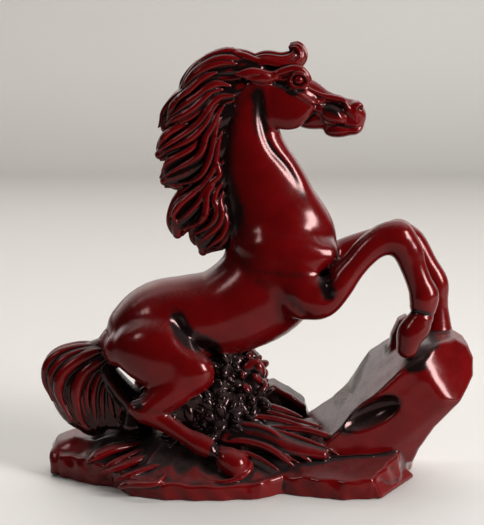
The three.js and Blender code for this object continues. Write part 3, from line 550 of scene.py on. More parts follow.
# Ribs of the mane: depth, radius and path, read in the photo's pixels
MANE_RIBS = [
    (2.5, 1.05, [(244, 54), (232, 51.5), (218, 54), (205, 60), (195, 69), (186, 79), (181, 88)]),
    (3.8, 1.0, [(242, 60), (230, 58), (216, 60), (204, 66), (194, 74), (186, 83), (182, 91)]),
    (4.4, 0.9, [(236, 64), (222, 63), (210, 66), (199, 72), (190, 80), (184, 90)]),
    (4.6, 0.9, [(216, 73), (206, 76), (197, 82), (189, 90), (180, 98), (172, 108)]),
    (4.9, 1.0, [(230, 86), (218, 84), (207, 88), (198, 95), (188, 102), (178, 110), (168, 119)]),
    (4.9, 1.0, [(222, 90), (211, 92), (202, 100), (193, 108), (183, 115), (172, 121), (166, 126)]),
    (3.2, 0.9, [(190, 91), (182, 96), (175, 103), (170, 111), (167, 120)]),
    (4.7, 0.7, [(226, 94), (214, 97), (206, 104), (198, 112), (188, 119), (177, 124), (168, 129)]),
    (4.9, 1.0, [(234, 96), (221, 97), (212, 103), (206, 112), (199, 122), (189, 131), (166, 146),
        (159, 153)]),
    (4.9, 0.9, [(218, 104), (211, 112), (206, 122), (198, 132), (188, 140), (176, 147), (163, 154)]),
    (4.0, 0.9, [(188, 124), (177, 128), (168, 133), (162, 140), (158, 149)]),
    (4.9, 0.9, [(224, 106), (217, 115), (212, 126), (206, 137), (203, 148), (196, 158), (174, 171),
        (164, 178)]),
    (4.6, 0.75, [(198, 140), (192, 148), (182, 154), (172, 159), (165, 165), (163, 173)]),
    (4.8, 0.8, [(221, 118), (216, 130), (213, 142), (211, 154), (207, 166), (200, 177), (190, 183),
        (178, 186)]),
    (4.9, 0.75, [(222, 132), (218, 145), (214, 168), (208, 178), (201, 187), (191, 194), (179, 200),
        (172, 208)]),
    (4.6, 0.8, [(203, 184), (195, 192), (186, 199), (178, 207), (173, 217), (177, 225)]),
    (4.9, 0.8, [(219, 150), (217, 163), (219, 175), (211, 183), (204, 192), (199, 202), (184, 218),
        (177, 222)]),
    (4.9, 0.9, [(220, 177), (212, 186), (207, 195), (206, 206), (204, 217), (197, 225), (182, 231)]),
    (4.9, 0.85, [(222, 184), (216, 192), (214, 201), (217, 210), (214, 221), (206, 229), (190, 238)]),
    (4.8, 0.85, [(223, 192), (220, 202), (222, 212), (220, 223), (213, 232), (204, 239), (198, 246)]),
    (4.4, 0.85, [(224, 205), (225, 215), (226, 225), (222, 236), (214, 244), (206, 251)]),
    (3.8, 0.7, [(227, 214), (229, 224), (228, 235), (223, 244), (215, 251)]),
]


def both_sides(ribs, inset, taper):
    """Ribs of hair laid on both faces, from rows of depth, radius and a path in the side view."""
    rows = []
    for side in (-1, 1):
        for depth, radius, path in ribs:
            p = dense(path, 3)
            t = np.linspace(0, 1, len(p))
            y = (depth - 0.3) * (1 - inset * (1 - t) ** 2 - taper * t**3)
            r = radius * np.clip(0.35 + t * 3.0, 0, 1) * np.clip((1 - t) / 0.34, 0.22, 1) ** 0.7
            rows.append(np.column_stack([p[:, 0], side * y, p[:, 1], r]))
    return rows


def share_out(strands, paths):
    """Each strand's stretches, given to the lock whose path is nearest to them."""
    centres = [dense(p, 4) for p in paths]
    shares = [[] for _ in paths]
    for rows in strands:
        gaps = [np.min((rows[:, :1] - c[:, 0]) ** 2 + (rows[:, 2:3] - c[:, 1]) ** 2, axis=1) for c in centres]
        owner = np.argmin(gaps, axis=0)
        start = 0
        for i in range(1, len(rows) + 1):
            if i == len(rows) or owner[i] != owner[start]:
                stretch = rows[max(start - 1, 0) : i + 1]
                if len(stretch) > 1:
                    shares[owner[start]].append(add(Tube(stretch, 1), 0.05))
                start = i
    return shares


mane_ribs = [(depth, radius, lift(pixels, -depth)) for depth, radius, pixels in MANE_RIBS]
SHARES = share_out(both_sides(mane_ribs, 0.18, 0.42), MANE)
for number, path in enumerate(MANE):
    heights, widths = MANE_HEIGHT * (TOP_LOCK_SHARE if number == 0 else 1.0), MANE_WIDTH
    if len(path) == 4:
        heights, widths = heights[[0, 1, 2, 4]], widths[[0, 1, 3, 4]]
    curl = lock(path, heights, widths, 20, 0.85, 40 + number, sideways=0.6)
    part(f"mane_lock_{number + 1}", curl + SHARES[number], 0.1, wash=0.82, cavity=2.6, **HAIR)

FORELOCK = [
    (4.2, 101.6), (8.0, 102.4), (11.6, 102.0), (14.2, 102.3), (15.9, 103.7), (15.4, 105.4), (14.5, 105.7),
]
FORELOCK_HEIGHT = [1.7, 2.3, 2.3, 2.4, 2.1, 1.8, 1.1]
FORELOCK_WIDTH = [2.8, 3.1, 3.0, 2.5, 2.0, 1.7, 1.2]
curl = lock(FORELOCK, FORELOCK_HEIGHT, FORELOCK_WIDTH, 15, 0.52, 77, twist=0.2, core=0.88)
part("forelock", curl, 0.4, wash=0.5, cavity=2.0, **HAIR)

TAIL_FAN = [
    [(-30.0, 34.4), (-36.2, 33.0), (-42.6, 30.6), (-46.2, 25.3), (-45.2, 20.2), (-42.2, 16.4), (-37.8, 12.8)],
    [(-30.0, 33.6), (-37.2, 31.4), (-41.7, 27.1), (-43.0, 23.0), (-42.3, 20.0), (-40.5, 16.4), (-36.5, 12.4)],
    [(-30.0, 33.0), (-34.7, 30.2), (-38.2, 26.6), (-39.6, 22.6), (-39.3, 19.2), (-37.9, 15.6), (-35.4, 12.4)],
    [(-29.6, 32.6), (-32.4, 29.4), (-34.6, 26.0), (-35.6, 22.3), (-35.6, 19.0), (-34.9, 15.6), (-33.6, 12.4)],
    [(-29.2, 32.0), (-30.4, 28.8), (-31.4, 25.2), (-31.8, 22.0), (-31.8, 18.6), (-31.4, 15.2), (-31.0, 12.6)],
    [(-28.8, 31.4), (-28.9, 28.0), (-28.6, 25.0), (-27.6, 22.4), (-25.8, 19.8), (-24.2, 17.2), (-23.6, 14.0)],
]
TAIL_CORE = [
    (-28.6, 32.6, 3.0, 2.6), (-33.0, 30.8, 3.6, 3.4), (-37.4, 26.6, 5.6, 4.0), (-39.0, 22.0, 6.0, 4.2),
    (-37.2, 17.6, 5.8, 4.1), (-34.4, 14.4, 4.6, 3.6),
]
INNER_TAIL = [
    (-31.0, 31.0, 2.0, 3.0), (-30.6, 26.2, 2.1, 4.0), (-27.6, 21.8, 2.6, 5.4), (-24.6, 18.4, 2.8, 6.6),
    (-24.2, 14.0, 4.0, 7.4),
]
TAIL_FILL = [
    (-35.4, 12.0), (-33.8, 25.6), (-30.8, 29.2), (-28.9, 27.0), (-24.8, 22.4), (-22.4, 20.4), (-22.0, 12.0),
]
# Ribs of the tail: depth, radius and path
TAIL_RIBS = [
    (2.0, 1.1, [(-30.8, 33.1), (-34.8, 32.6), (-38.7, 32.1), (-42.2, 31.1), (-44.7, 29.1), (-45.8, 26.0),
        (-45.7, 23.0), (-44.2, 19.4)]),
    (3.6, 0.9, [(-30.7, 33.0), (-34.6, 32.2), (-38.6, 31.2), (-41.5, 29.7), (-43.5, 27.5), (-44.3, 24.7),
        (-43.6, 21.7), (-41.4, 17.0)]),
    (4.4, 1.25, [(-30.2, 32.4), (-33.6, 31.7), (-37.0, 30.2), (-39.7, 28.4), (-41.7, 26.2), (-42.5, 23.4),
        (-42.1, 20.1), (-39.6, 15.0)]),
    (4.0, 0.6, [(-30.7, 31.3), (-33.7, 30.1), (-36.4, 28.3), (-38.6, 26.1), (-39.9, 23.0), (-40.0, 19.5),
        (-38.8, 15.7)]),
    (4.6, 1.2, [(-29.2, 31.2), (-32.1, 29.7), (-34.6, 28.2), (-36.6, 26.2), (-37.9, 23.4), (-38.2, 20.2),
        (-37.5, 16.6), (-36.4, 13.4)]),
    (4.2, 0.5, [(-29.2, 30.1), (-31.7, 28.6), (-33.7, 26.6), (-35.2, 24.1), (-35.7, 21.1), (-35.6, 17.5),
        (-34.9, 14.0)]),
    (4.3, 0.55, [(-29.0, 29.4), (-30.9, 27.6), (-32.7, 25.4), (-33.7, 22.6), (-34.0, 19.6), (-33.6, 16.0),
        (-33.2, 13.2)]),
    (4.0, 0.6, [(-29.4, 28.1), (-30.6, 25.8), (-31.5, 23.0), (-31.9, 20.0), (-31.7, 16.5), (-31.0, 13.4)]),
    (3.9, 0.6, [(-29.9, 26.2), (-29.9, 23.9), (-29.9, 20.9), (-29.5, 17.4), (-28.5, 13.8)]),
    (4.9, 0.5, [(-24.9, 22.2), (-25.7, 20.2), (-26.9, 18.0), (-28.4, 15.2)]),
    (5.8, 0.5, [(-21.4, 21.6), (-22.4, 20.4), (-23.8, 18.7), (-25.4, 17.2), (-26.9, 15.0)]),
]
# The tail's ribs are drawn a quarter thicker than their table says
TAIL_RIB_GAIN = np.array([1, 1, 1, 1.25])


def fan(guides, count, radius, seed, deepest, first):
    """Strands spread evenly over a fan of guide paths, on both faces of the hair.

    Their depth follows half a wave that begins at the share first, and is deepest in its middle.
    """
    rng = np.random.default_rng(seed)
    tables = np.array([dense([(x, 0, z) for x, z in g], 3) for g in guides])
    ops = []
    t = np.linspace(0, 1, tables.shape[1])
    bulge = 0.45 + 0.55 * np.sin(np.clip(t * 1.35, 0, 1) * math.pi / 2)
    for i in range(count):
        for side in (-1, 1):
            u = (i + 0.5 + rng.uniform(-0.2, 0.2)) / count * (len(guides) - 1)
            a = min(int(u), len(guides) - 2)
            p = tables[a] * (1 - (u - a)) + tables[a + 1] * (u - a)
            depth = deepest * math.sin(math.pi * min(1.0, first + (1 - first) * (i + 0.5) / count))
            p[:, 1] = side * depth * bulge
            p[:, 1] += 0.25 * np.sin(t * 7 + rng.uniform(0, 6))
            p = p[: len(p) - rng.integers(0, 3)]
            ops.append(add(strand(p, radius * rng.uniform(0.8, 1.2), 0.7, 0.45), 0.12))
    return ops


part(
    "tail",
    [limb(TAIL_CORE, per=4), limb(INNER_TAIL, 0.8, 3), add(Plate(TAIL_FILL, -3.4, 3.4, 1.6), 1.0)]
    + fan(TAIL_FAN, 14, 0.42, 5, 4.1, 0.06)
    + [add(Tube(rows * TAIL_RIB_GAIN, 1), 0.1) for rows in both_sides(TAIL_RIBS, 0.35, 0.1)],
    0.4,
    wash=0.80,
    cavity=2.5,
    **HAIR,
)

# Legs

FORELEG_Y = 9.3
RIGHT_FOREARM = [
    (17.6, 46.4, 5.2, 3.6), (21.4, 46.6, 5.0, 3.9), (25.2, 49.8, 4.1, 3.9), (29.0, 54.4, 3.3, 3.3),
    (33.0, 58.8, 3.5, 3.2), (36.8, 61.0, 3.9, 3.3), (39.6, 61.2, 3.9, 3.4),
]
RIGHT_CANNON = [
    (39.4, 61.2, 4.0, 3.4), (41.8, 58.2, 3.7, 3.2), (43.3, 54.2, 3.1, 2.7), (44.9, 50.2, 3.1, 2.7),
    (46.0, 47.2, 3.6, 3.2), (45.8, 44.2, 3.2, 2.9), (45.4, 42.4, 3.1, 2.8),
]
RIGHT_HOOF = [(45.1, 41.6, 3.0, 2.8), (44.3, 39.6, 3.5, 3.3), (43.0, 37.6, 3.4, 3.4), (42.2, 34.4, 2.6, 2.8)]
LEFT_FOREARM = [
    (20.0, 48.4, 5.2, 3.8), (24.0, 51.4, 4.8, 3.8), (29.4, 54.4, 4.2, 3.6), (36.0, 57.0, 3.8, 3.3),
    (41.4, 59.0, 3.7, 3.3),
]
LEFT_CANNON = [
    (41.4, 59.0, 3.7, 3.3), (44.8, 57.0, 3.6, 3.1), (48.4, 51.6, 3.0, 2.6), (51.0, 46.8, 3.2, 2.8),
    (51.4, 42.0, 2.8, 2.6),
]
LEFT_HOOF = [(51.3, 42.0, 2.8, 2.7), (51.3, 38.6, 3.4, 3.2), (51.4, 34.0, 4.2, 4.0)]
part("right_forearm", [limb(RIGHT_FOREARM, y=-FORELEG_Y)], 1.6, **UPPER_LEG)
part("left_forearm", [limb(LEFT_FOREARM, y=FORELEG_Y)], 1.6, **UPPER_LEG)
for (side, word), cannon, hoof in zip(SIDES, (RIGHT_CANNON, LEFT_CANNON), (RIGHT_HOOF, LEFT_HOOF)):
    y = side * FORELEG_Y
    part(f"{word}_fore_cannon", [limb(cannon, y=y), limb(hoof, 0.5, 4, y)], 1.2, **LOWER_LEG)

THIGH = [
    (-27.0, 6.4, 33.2, 4.2, 4.0), (-23.6, 8.0, 33.4, 6.8, 4.8), (-19.0, 9.2, 33.0, 8.4, 5.2),
    (-13.6, 9.8, 31.0, 8.0, 4.9), (-9.6, 10.6, 29.4, 5.6, 4.1),
]
GASKIN = [
    (-9.8, 10.8, 28.2, 4.8, 3.8), (-13.4, 11.2, 25.0, 4.5, 3.6), (-17.4, 11.6, 21.8, 3.8, 3.1),
    (-20.8, 12.0, 19.4, 2.9, 2.6),
]
HIND_CANNON = [
    (-20.9, 12.0, 19.0, 2.7, 2.5), (-16.4, 12.2, 16.8, 2.4, 2.2), (-11.4, 13.4, 13.8, 2.0, 2.0),
    (-7.6, 14.4, 11.9, 2.6, 2.4), (-5.2, 15.1, 10.7, 2.2, 2.1), (-3.6, 15.5, 10.0, 1.8, 1.9),
]
HIND_HOOF = [(-2.9, 15.6, 9.6, 2.2, 2.4), (-1.4, 15.9, 8.8, 3.0, 3.1), (0.9, 16.2, 7.5, 3.4, 3.5)]
for side, word in SIDES:
    thigh, gaskin, cannon = (Tube(mirrored(rows, side)) for rows in (THIGH, GASKIN, HIND_CANNON))
    hock = Ball((-22.6, side * 12, 19.8), (2.6, 2.4, 2.2), -30)
    part(f"{word}_thigh", [add(thigh), add(gaskin, 1.6), add(hock, 1.0)], 1.8, **UPPER_LEG)
    hoof = Tube(mirrored(HIND_HOOF, side), 4)
    part(f"{word}_hind_cannon", [add(cannon), add(hoof, 0.25)], 0.6, **LOWER_LEG)

# Rock, ground and plants

ROCK_OUTLINE = [
    (15.0, 10.0), (25.6, 17.0), (29.4, 20.8), (32.0, 25.0), (34.6, 29.0), (38.4, 31.6), (41.8, 33.6),
    (48.4, 34.9), (55.0, 35.0), (58.3, 32.9), (59.6, 29.8), (59.3, 25.8), (56.1, 21.6), (49.4, 14.0),
    (46.0, 8.0), (44.8, 4.0), (20.0, 4.0),
]
# Planes that cut the rock's facets: a point and the normal
ROCK_PLANES = [
    ((30.0, -10.5, 18.6), (-0.69, -0.20, 0.69)), ((49.4, -11.0, 27.0), (0.26, -0.90, 0.34)),
    ((48.3, -10.56, 29.0), (0.52, -0.79, 0.33)), ((52.6, -7.7, 29.0), (0.62, -0.66, 0.42)),
    ((44.0, -10.5, 30.8), (-0.25, -0.55, 0.80)), ((53.0, -10.4, 20.5), (0.36, -0.80, -0.48)),
    ((40.0, -11.0, 12.0), (0.06, -0.97, -0.22)),
]
ROCK_KNOB = [(38.6, 30.0), (39.4, 35.0), (41.2, 39.0), (43.2, 40.0), (45.6, 34.0), (46.0, 30.0)]
part(
    "rock_outcrop",
    [
        add(Plate(ROCK_OUTLINE, -11.2, 12.0, 1.7, ROCK_PLANES, 0.04)),
        add(Plate(ROCK_KNOB, 0.5, 6.5, 2.2), 1.2),
        cut(Ball((33.6, -14.2, 18.6), (8.8, 6.0, 3.9), 27), 0.6),
    ],
    0.3,
    **GROUND,
)
REAR_ROCK = [
    (-6, 4.6), (-2, 15.0), (3.5, 18.9), (7.6, 20.0), (10.8, 20.2), (14.6, 18.1), (18.7, 14.9), (21.5, 4.6),
]
rear = Plate(REAR_ROCK, 8.5, 17.5, 1.0, wobble=0.25)
part("rear_rock", [add(rear)], 0.4, step=BASE_STEP, slot="dark_resin", wash=0.8)

# The base's outline from above, and its rim's height along x on the near side
RIM = [
    (-45.3, 4.6), (-42.6, -3.7), (-35.9, -8.5), (-29.0, -11.8), (-24.2, -18.5), (-15.7, -21.5), (-5.0, -22.2),
    (6.8, -20.7), (12.4, -16.8), (18.0, -19.0), (26.9, -21.5), (33.3, -20.7), (40.9, -10.8), (46.0, 5.0),
    (43.5, 13.5), (36.0, 19.0), (25.0, 21.0), (13.0, 22.2), (0.0, 21.0), (-12.0, 22.2), (-24.0, 20.5),
    (-35.0, 16.5), (-43.0, 11.5),
]
RIM_X = [-45, -36, -27, -18, -10, 0, 7, 12.5, 18, 24, 33, 40, 46]
RIM_HEIGHT = [5.6, 6.4, 4.8, 4.8, 4.0, 3.6, 4.4, 4.8, 3.8, 4.8, 5.4, 5.6, 5.6]
FAR_RIM_HEIGHT = 5.0
MOUND_HEIGHT = 12.6


class Ground(Shape):
    """The base: a rim that follows its plan, a top that rises to a mound, and a flat place at the right."""

    low = np.array([-46.5, -23.5, -0.2])
    high = np.array([47.0, 23.5, 14.5])

    def distance(self, x, y, z):
        u, v = x[:, :, 0], y[:, :, 0]
        rim = polygon(np.array(RIM), u, v)
        rise = ramp(rim, -2.0, -17.0)
        edge = np.where(v < 0, np.interp(u, RIM_X, RIM_HEIGHT), FAR_RIM_HEIGHT)
        top = edge + (MOUND_HEIGHT - edge) * (rise * rise * (3 - 2 * rise)) ** 0.75
        flat = ramp(u, 12.0, 17.0) * ramp(v, -1.0, -5.0)
        top = top * (1 - flat) + (4.4 + 0.26 * (v + 20.5) + 0.04 * (u - 14)) * flat
        top = top + 0.2 * ripple(u, v * 1.1, 0.3) * (1 - 0.8 * flat)
        wall = rim[:, :, None] + 0.10 * np.abs(z - 3.2) + 0.25 * ripple(x, y, z * 0.8)
        return smax(smax((z - top[:, :, None]) * 0.85, wall, 0.7), -z, 0.3)


def ridge(path, radius, k, start, end=0.2, flat=1.0):
    """A raised line on the ground, flat times as wide as it is high."""
    made = strand(dense(path, 2), radius, start, end)
    made.round, made.w = False, made.h * flat
    return add(made, k)


LEDGE = [(-45.2, 0.4), (-45.3, 6.0), (-43.8, 8.4), (-39.4, 9.7), (-35.0, 8.8), (-32.6, 5.0), (-32.6, 0.4)]
LEDGE_PLANES = [((-41.5, -2.6, 6.6), (-0.30, -0.70, 0.65)), ((-36.5, -2.6, 7.4), (0.16, -0.72, 0.68))]
CORNER_BLOCK = [(30.0, 0.2), (30.0, 9.0), (45.0, 9.0), (45.0, 0.2)]
CORNER = (38.4, -9.0, 8.1)
CORNER_PLANES = [(CORNER, (0.81, -0.45, 0.38)), (CORNER, (-0.36, -0.16, 0.92)), (CORNER, (0.48, 0.42, 0.77))]
# Ridges on the ground: path, radius, blend, start, end and flatness
RIDGES = [
    ([(-35.0, -9.0, 5.9), (-32.7, -8.0, 7.2), (-29.3, -6.5, 8.4), (-25.5, -5.0, 8.8), (-21.1, -4.0, 9.4)],
        1.3, 0.3, 0.4, 0.3, 1.9),
    ([(-30.9, -12.0, 5.2), (-28.8, -11.0, 6.2), (-26.0, -9.5, 7.1), (-22.9, -8.0, 8.1), (-19.5, -7.0, 8.8)],
        0.7, 0.15, 0.4, 0.3, 1.3),
    ([(-31.0, -13.8, 4.6), (-26.9, -13.0, 5.8), (-23.7, -11.5, 6.8), (-20.3, -10.0, 7.4), (-16.0, -9.0, 8.0)],
        1.0, 0.15, 0.4, 0.3, 1.7),
    ([(-28.1, -17.0, 3.6), (-24.7, -17.0, 4.9), (-21.0, -15.5, 5.9), (-16.8, -14.0, 6.5),
        (-10.0, -13.0, 6.7)], 0.7, 0.15, 0.4, 0.3, 1.3),
    ([(-26.8, -19.4, 2.6), (-24.5, -20.2, 3.8), (-21.2, -21.0, 4.0), (-17.8, -20.8, 4.2),
        (-15.6, -18.4, 5.6)], 0.9, 0.3, 0.5, 0.4, 1.5),
    ([(-10.0, -13.0, 6.5), (-8.1, -15.4, 5.6), (-6.3, -17.4, 4.6), (-3.7, -18.9, 4.0), (-0.8, -19.4, 4.2),
        (2.2, -19.0, 5.0)], 0.65, 0.3, 0.5, 0.9),
    ([(2.2, -19.0, 5.0), (4.2, -17.6, 6.2), (4.6, -15.4, 7.4), (3.4, -13.2, 8.8), (1.8, -12.0, 10.0)],
        0.65, 0.3, 0.9, 0.3),
]
part(
    "base_plinth",
    [
        add(Ground()),
        add(Plate(LEDGE, -3.4, 8.4, 2.2, LEDGE_PLANES, 0.12), 0.9),
        add(Plate(CORNER_BLOCK, -20.4, 0.0, 0.35, CORNER_PLANES), 0.2),
    ]
    + [ridge(*row) for row in RIDGES],
    0.4,
    cavity=2.0,
    **GROUND,
)

GOLDEN_ANGLE = 2.39996


def leaves(cores, count, seed, smallest, largest):
    """Rounded leaves and buds scattered over ellipsoid cores."""
    rng = np.random.default_rng(seed)
    ops = [add(Ball(c, np.array(r) * 0.86), 0.8) for c, r in cores]
    for c, r in cores:
        for i in range(count):
            z = 1 - 2 * (i + 0.5) / count
            a = i * GOLDEN_ANGLE + rng.uniform(-0.3, 0.3)
            s = math.sqrt(1 - z * z)
            p = np.array(c) + np.array(r) * 0.9 * np.array([s * math.cos(a), s * math.sin(a), z])
            q = rng.uniform(smallest, largest)
            shape = q * np.array([rng.uniform(0.9, 1.7), rng.uniform(0.5, 1.0), rng.uniform(0.5, 1.0)])
            if i % 6 == 0:
                shape = q * np.array([1.8, 1.3, 0.7])
            ops.append(add(Ball(p, shape, rng.uniform(-80, 80), rng.uniform(-80, 80)), 0.1))
    return ops


# Cores of a leaf clump: centre and radii
CLUMP = [
    ((-12.5, 8.0, 19.2), (6.6, 4.8, 6.8)),
    ((-4.0, 8.6, 19.4), (7.0, 5.4, 6.2)),
    ((4.2, 4.6, 20.8), (4.8, 4.0, 10.2)),
    ((-2.0, 4.0, 26.2), (6.4, 3.6, 5.0)),
    ((-4.0, 7.0, 12.6), (13.4, 6.6, 4.8)),
]
for side, word in ((-1, "near"), (1, "far")):
    cores = [((x, side * y, z), radii) for (x, y, z), radii in CLUMP]
    part(f"foliage_{word}", leaves(cores, 48, 90 + side, 1.0, 1.8), 0.1, wash=1.35, cavity=1.2, **PLANT)

# Blades of grass: radius and path, over a low bed
BLADES = [
    (0.95, [(-1.4, -11.0, 14.6), (3.0, -11.0, 15.6), (9.3, -11.4, 14.1), (12.4, -12.0, 11.6),
        (15.8, -12.8, 9.2), (19.2, -13.4, 7.2)]),
    (0.85, [(6.0, -9.0, 14.4), (13.7, -9.0, 14.3), (18.5, -9.0, 13.8), (22.7, -9.4, 12.6), (26.3, -9.8, 11.1),
        (29.6, -10.2, 9.8)]),
    (0.85, [(1.0, -6.8, 19.4), (6.4, -6.5, 19.7), (9.8, -6.5, 18.9), (13.2, -6.5, 17.9), (17.2, -6.8, 16.4)]),
    (0.90, [(-1.6, -12.6, 12.0), (2.0, -13.0, 12.4), (6.4, -13.4, 11.6), (10.2, -14.0, 10.0),
        (12.9, -14.6, 8.0), (15.0, -15.0, 6.6)]),
    (0.60, [(-3.4, -11.4, 14.2), (2.0, -11.9, 13.7), (6.4, -12.2, 12.6), (9.8, -12.6, 11.0),
        (13.6, -13.2, 9.0)]),
    (0.70, [(1.0, -8.6, 17.2), (4.4, -8.5, 17.2), (8.8, -8.5, 16.8), (12.7, -8.6, 16.0), (16.6, -8.8, 14.9),
        (21.0, -9.0, 13.2)]),
    (0.60, [(0.4, -14.0, 9.8), (3.0, -14.8, 9.9), (5.9, -15.4, 9.0), (8.7, -16.0, 7.6), (11.6, -16.6, 5.8)]),
    (0.60, [(4.0, -10.2, 14.8), (9.3, -10.2, 14.2), (14.2, -10.4, 13.0), (19.0, -10.8, 11.4),
        (22.9, -11.2, 9.8), (26.2, -11.6, 8.2)]),
    (0.60, [(3.0, -7.4, 18.6), (8.0, -7.4, 18.2), (13.0, -7.6, 16.8), (18.0, -7.8, 15.4),
        (22.4, -8.2, 14.2)]),
    (0.50, [(0.0, -12.0, 13.4), (5.0, -12.7, 12.9), (9.0, -13.2, 11.2), (13.0, -13.8, 8.8),
        (16.6, -14.4, 7.0)]),
]
GRASS_BED = [
    (-1.0, -10.2, 12.4, 3.4, 3.0), (6.0, -10.0, 12.4, 3.4, 3.4),
    (14.0, -10.4, 9.8, 2.8, 3.4), (22.0, -10.6, 8.4, 1.8, 2.6),
]
blades = [add(strand(dense(path, 2), radius, 0.6, 0.3, 2), 0.1) for radius, path in BLADES]
part("grass_near", [add(Tube(GRASS_BED, 4))] + blades, 0.2, wash=0.8, cavity=1.6, **PLANT)

# Carving that crosses the pieces, then the head's
CARVING = [
    Line([(7.0, 63.8), (14.0, 63.4), (20.0, 62.2), (24.6, 60.0)], 0.6, 2.4, -2.5),
    Line([(-13.6, 43.6), (-12.6, 40.4), (-11.4, 37.0), (-8.8, 35.0), (-5.7, 33.4), (-3.4, 30.4)],
        1.0, 1.5, -4),
    Line([(13.6, 47.2), (16.2, 44.4), (19.0, 41.6)], 0.5, 1.1, -4),
    Line([(6.4, 96.6), (6.9, 93.0), (7.1, 89.0), (7.8, 85.4), (9.4, 81.8), (13.0, 77.6), (16.0, 73.0)],
        0.55, 0.7, -1.2),
    Line([(41.4, 43.0), (44.6, 43.4), (48.6, 42.4)], 0.6, 0.6, -5.0, both=False),
    Line([(-3.4, 12.0), (-3.6, 9.8), (-4.6, 7.6)], 0.7, 0.6, -11.0),
    Line([(22.8, 53.8), (22.4, 49.7), (23.2, 46.2)], 0.9, 1.6, -6),
    Line([(12.5, 96.6), (15.8, 94.9), (19.1, 93.0), (21.0, 93.2), (24.1, 93.4), (27.0, 92.7), (28.4, 89.6)],
        -0.35, 0.55, -1.5),
    Line([(20.4, 92.8), (19.4, 90.2), (16.4, 87.2)], 0.55, 0.7, -1.5),
    Line([(21.2, 92.0), (23.6, 92.4), (26.0, 91.4), (27.0, 89.0)], 0.5, 0.55, -1.2),
    Line([(24.0, 87.9), (26.9, 87.0), (29.3, 86.6), (31.4, 87.2)], 0.55, 0.4, -0.6),
    Line([(9.6, 97.4), (12.2, 97.2), (13.4, 96.0)], 0.8, 0.6, -2),
    Line([(12.8, 98.6), (13.0, 96.8), (14.6, 95.5), (17.0, 95.7)], 0.5, 0.45, -2),
    Dent((30.6, -2.4, 91.0), (0.7, 1.2, 0.55), 0.8, turn=-30),
]

# Building the pieces


def neighbours(low, high):
    """The parts whose fields reach into a box."""
    return [p for p in PARTS if np.all(p.low - p.pad < high) and np.all(p.high + p.pad > low)]


def mesh_box(target):
    """The box in which a part is meshed."""
    margin = OVERLAP + 2 * target.step
    return target.low - margin, target.high + margin


def soften(field, times):
    for _ in range(times):
        for axis in range(3):
            a = np.moveaxis(field, axis, 0)
            b = a.copy()
            b[1:-1] = 0.25 * a[:-2] + 0.5 * a[1:-1] + 0.25 * a[2:]
            field = np.moveaxis(b, 0, axis)
    return np.ascontiguousarray(field)


def box_blur(a, r):
    """The mean over r lattice steps to each side."""
    width = 2 * r + 1
    for axis in range(3):
        n = a.shape[axis]
        pads = [(r + 1, r) if i == axis else (0, 0) for i in range(3)]
        c = np.moveaxis(np.cumsum(np.pad(a, pads, mode="edge"), axis=axis), axis, 0)
        a = np.moveaxis((c[width : width + n] - c[:n]) / width, 0, axis)
    return a.astype(np.float32)


# Corners of a lattice cell
CORNERS = [(a, b, c) for a in (0, 1) for b in (0, 1) for c in (0, 1)]


def sample(field, at):
    """Trilinear values of a field at places given in grid units."""
    i = np.clip(np.floor(at).astype(int), 0, np.array(field.shape) - 2)
    f = (at - i).astype(np.float32)
    sides = (1 - f, f)
    out = 0
    for a, b, c in CORNERS:
        w = sides[a][:, 0] * sides[b][:, 1] * sides[c][:, 2]
        out = out + w * field[i[:, 0] + a, i[:, 1] + b, i[:, 2] + c]
    return out


def slopes(field, places, limit):
    """The field's gradient at the places, of length 1, and its length before that."""
    g = np.stack([sample(g, places) for g in np.gradient(np.clip(field, -limit, limit))], 1)
    size = np.linalg.norm(g, axis=1)
    return g / np.maximum(size, TINY)[:, None], size


def skin(field):
    """The surface where the field is 0, as places in grid units and faces of four."""
    inside = field < 0
    count = np.zeros(tuple(n - 1 for n in field.shape), np.int8)
    for a, b, c in CORNERS:
        count += inside[a : a + count.shape[0], b : b + count.shape[1], c : c + count.shape[2]]
    active = (count > 0) & (count < 8)
    cells = np.argwhere(active)
    index = np.full(active.shape, -1, np.int32)
    index[active] = np.arange(len(cells))
    values = {k: field[tuple((cells + k).T)] for k in CORNERS}
    total = np.zeros((len(cells), 3))
    hits = np.zeros(len(cells))
    for a in CORNERS:
        for axis in range(3):
            if a[axis]:
                continue
            b = tuple(1 if i == axis else a[i] for i in range(3))
            va, vb = values[a], values[b]
            crossed = (va < 0) != (vb < 0)
            t = np.where(crossed, va / np.where(crossed, va - vb, 1), 0)
            for i in range(3):
                total[:, i] += np.where(crossed, a[i] + (t if i == axis else 0), 0)
            hits += crossed
    faces = []
    for axis in range(3):
        one, two = (axis + 1) % 3, (axis + 2) % 3
        lo, hi = [slice(1, -1)] * 3, [slice(1, -1)] * 3
        lo[axis], hi[axis] = slice(0, -1), slice(1, None)
        first, second = inside[tuple(lo)], inside[tuple(hi)]
        for flip in (False, True):
            base = np.argwhere(~first & second if flip else first & ~second)
            quad = []
            for du, dv in ((0, 0), (1, 0), (1, 1), (0, 1)):
                c = base.copy()
                c[:, one] += du
                c[:, two] += dv
                quad.append(index[tuple(c.T)])
            quad = np.stack(quad, 1)
            faces.append(quad[:, ::-1] if flip else quad)
    return cells + total / hits[:, None], np.vstack(faces)


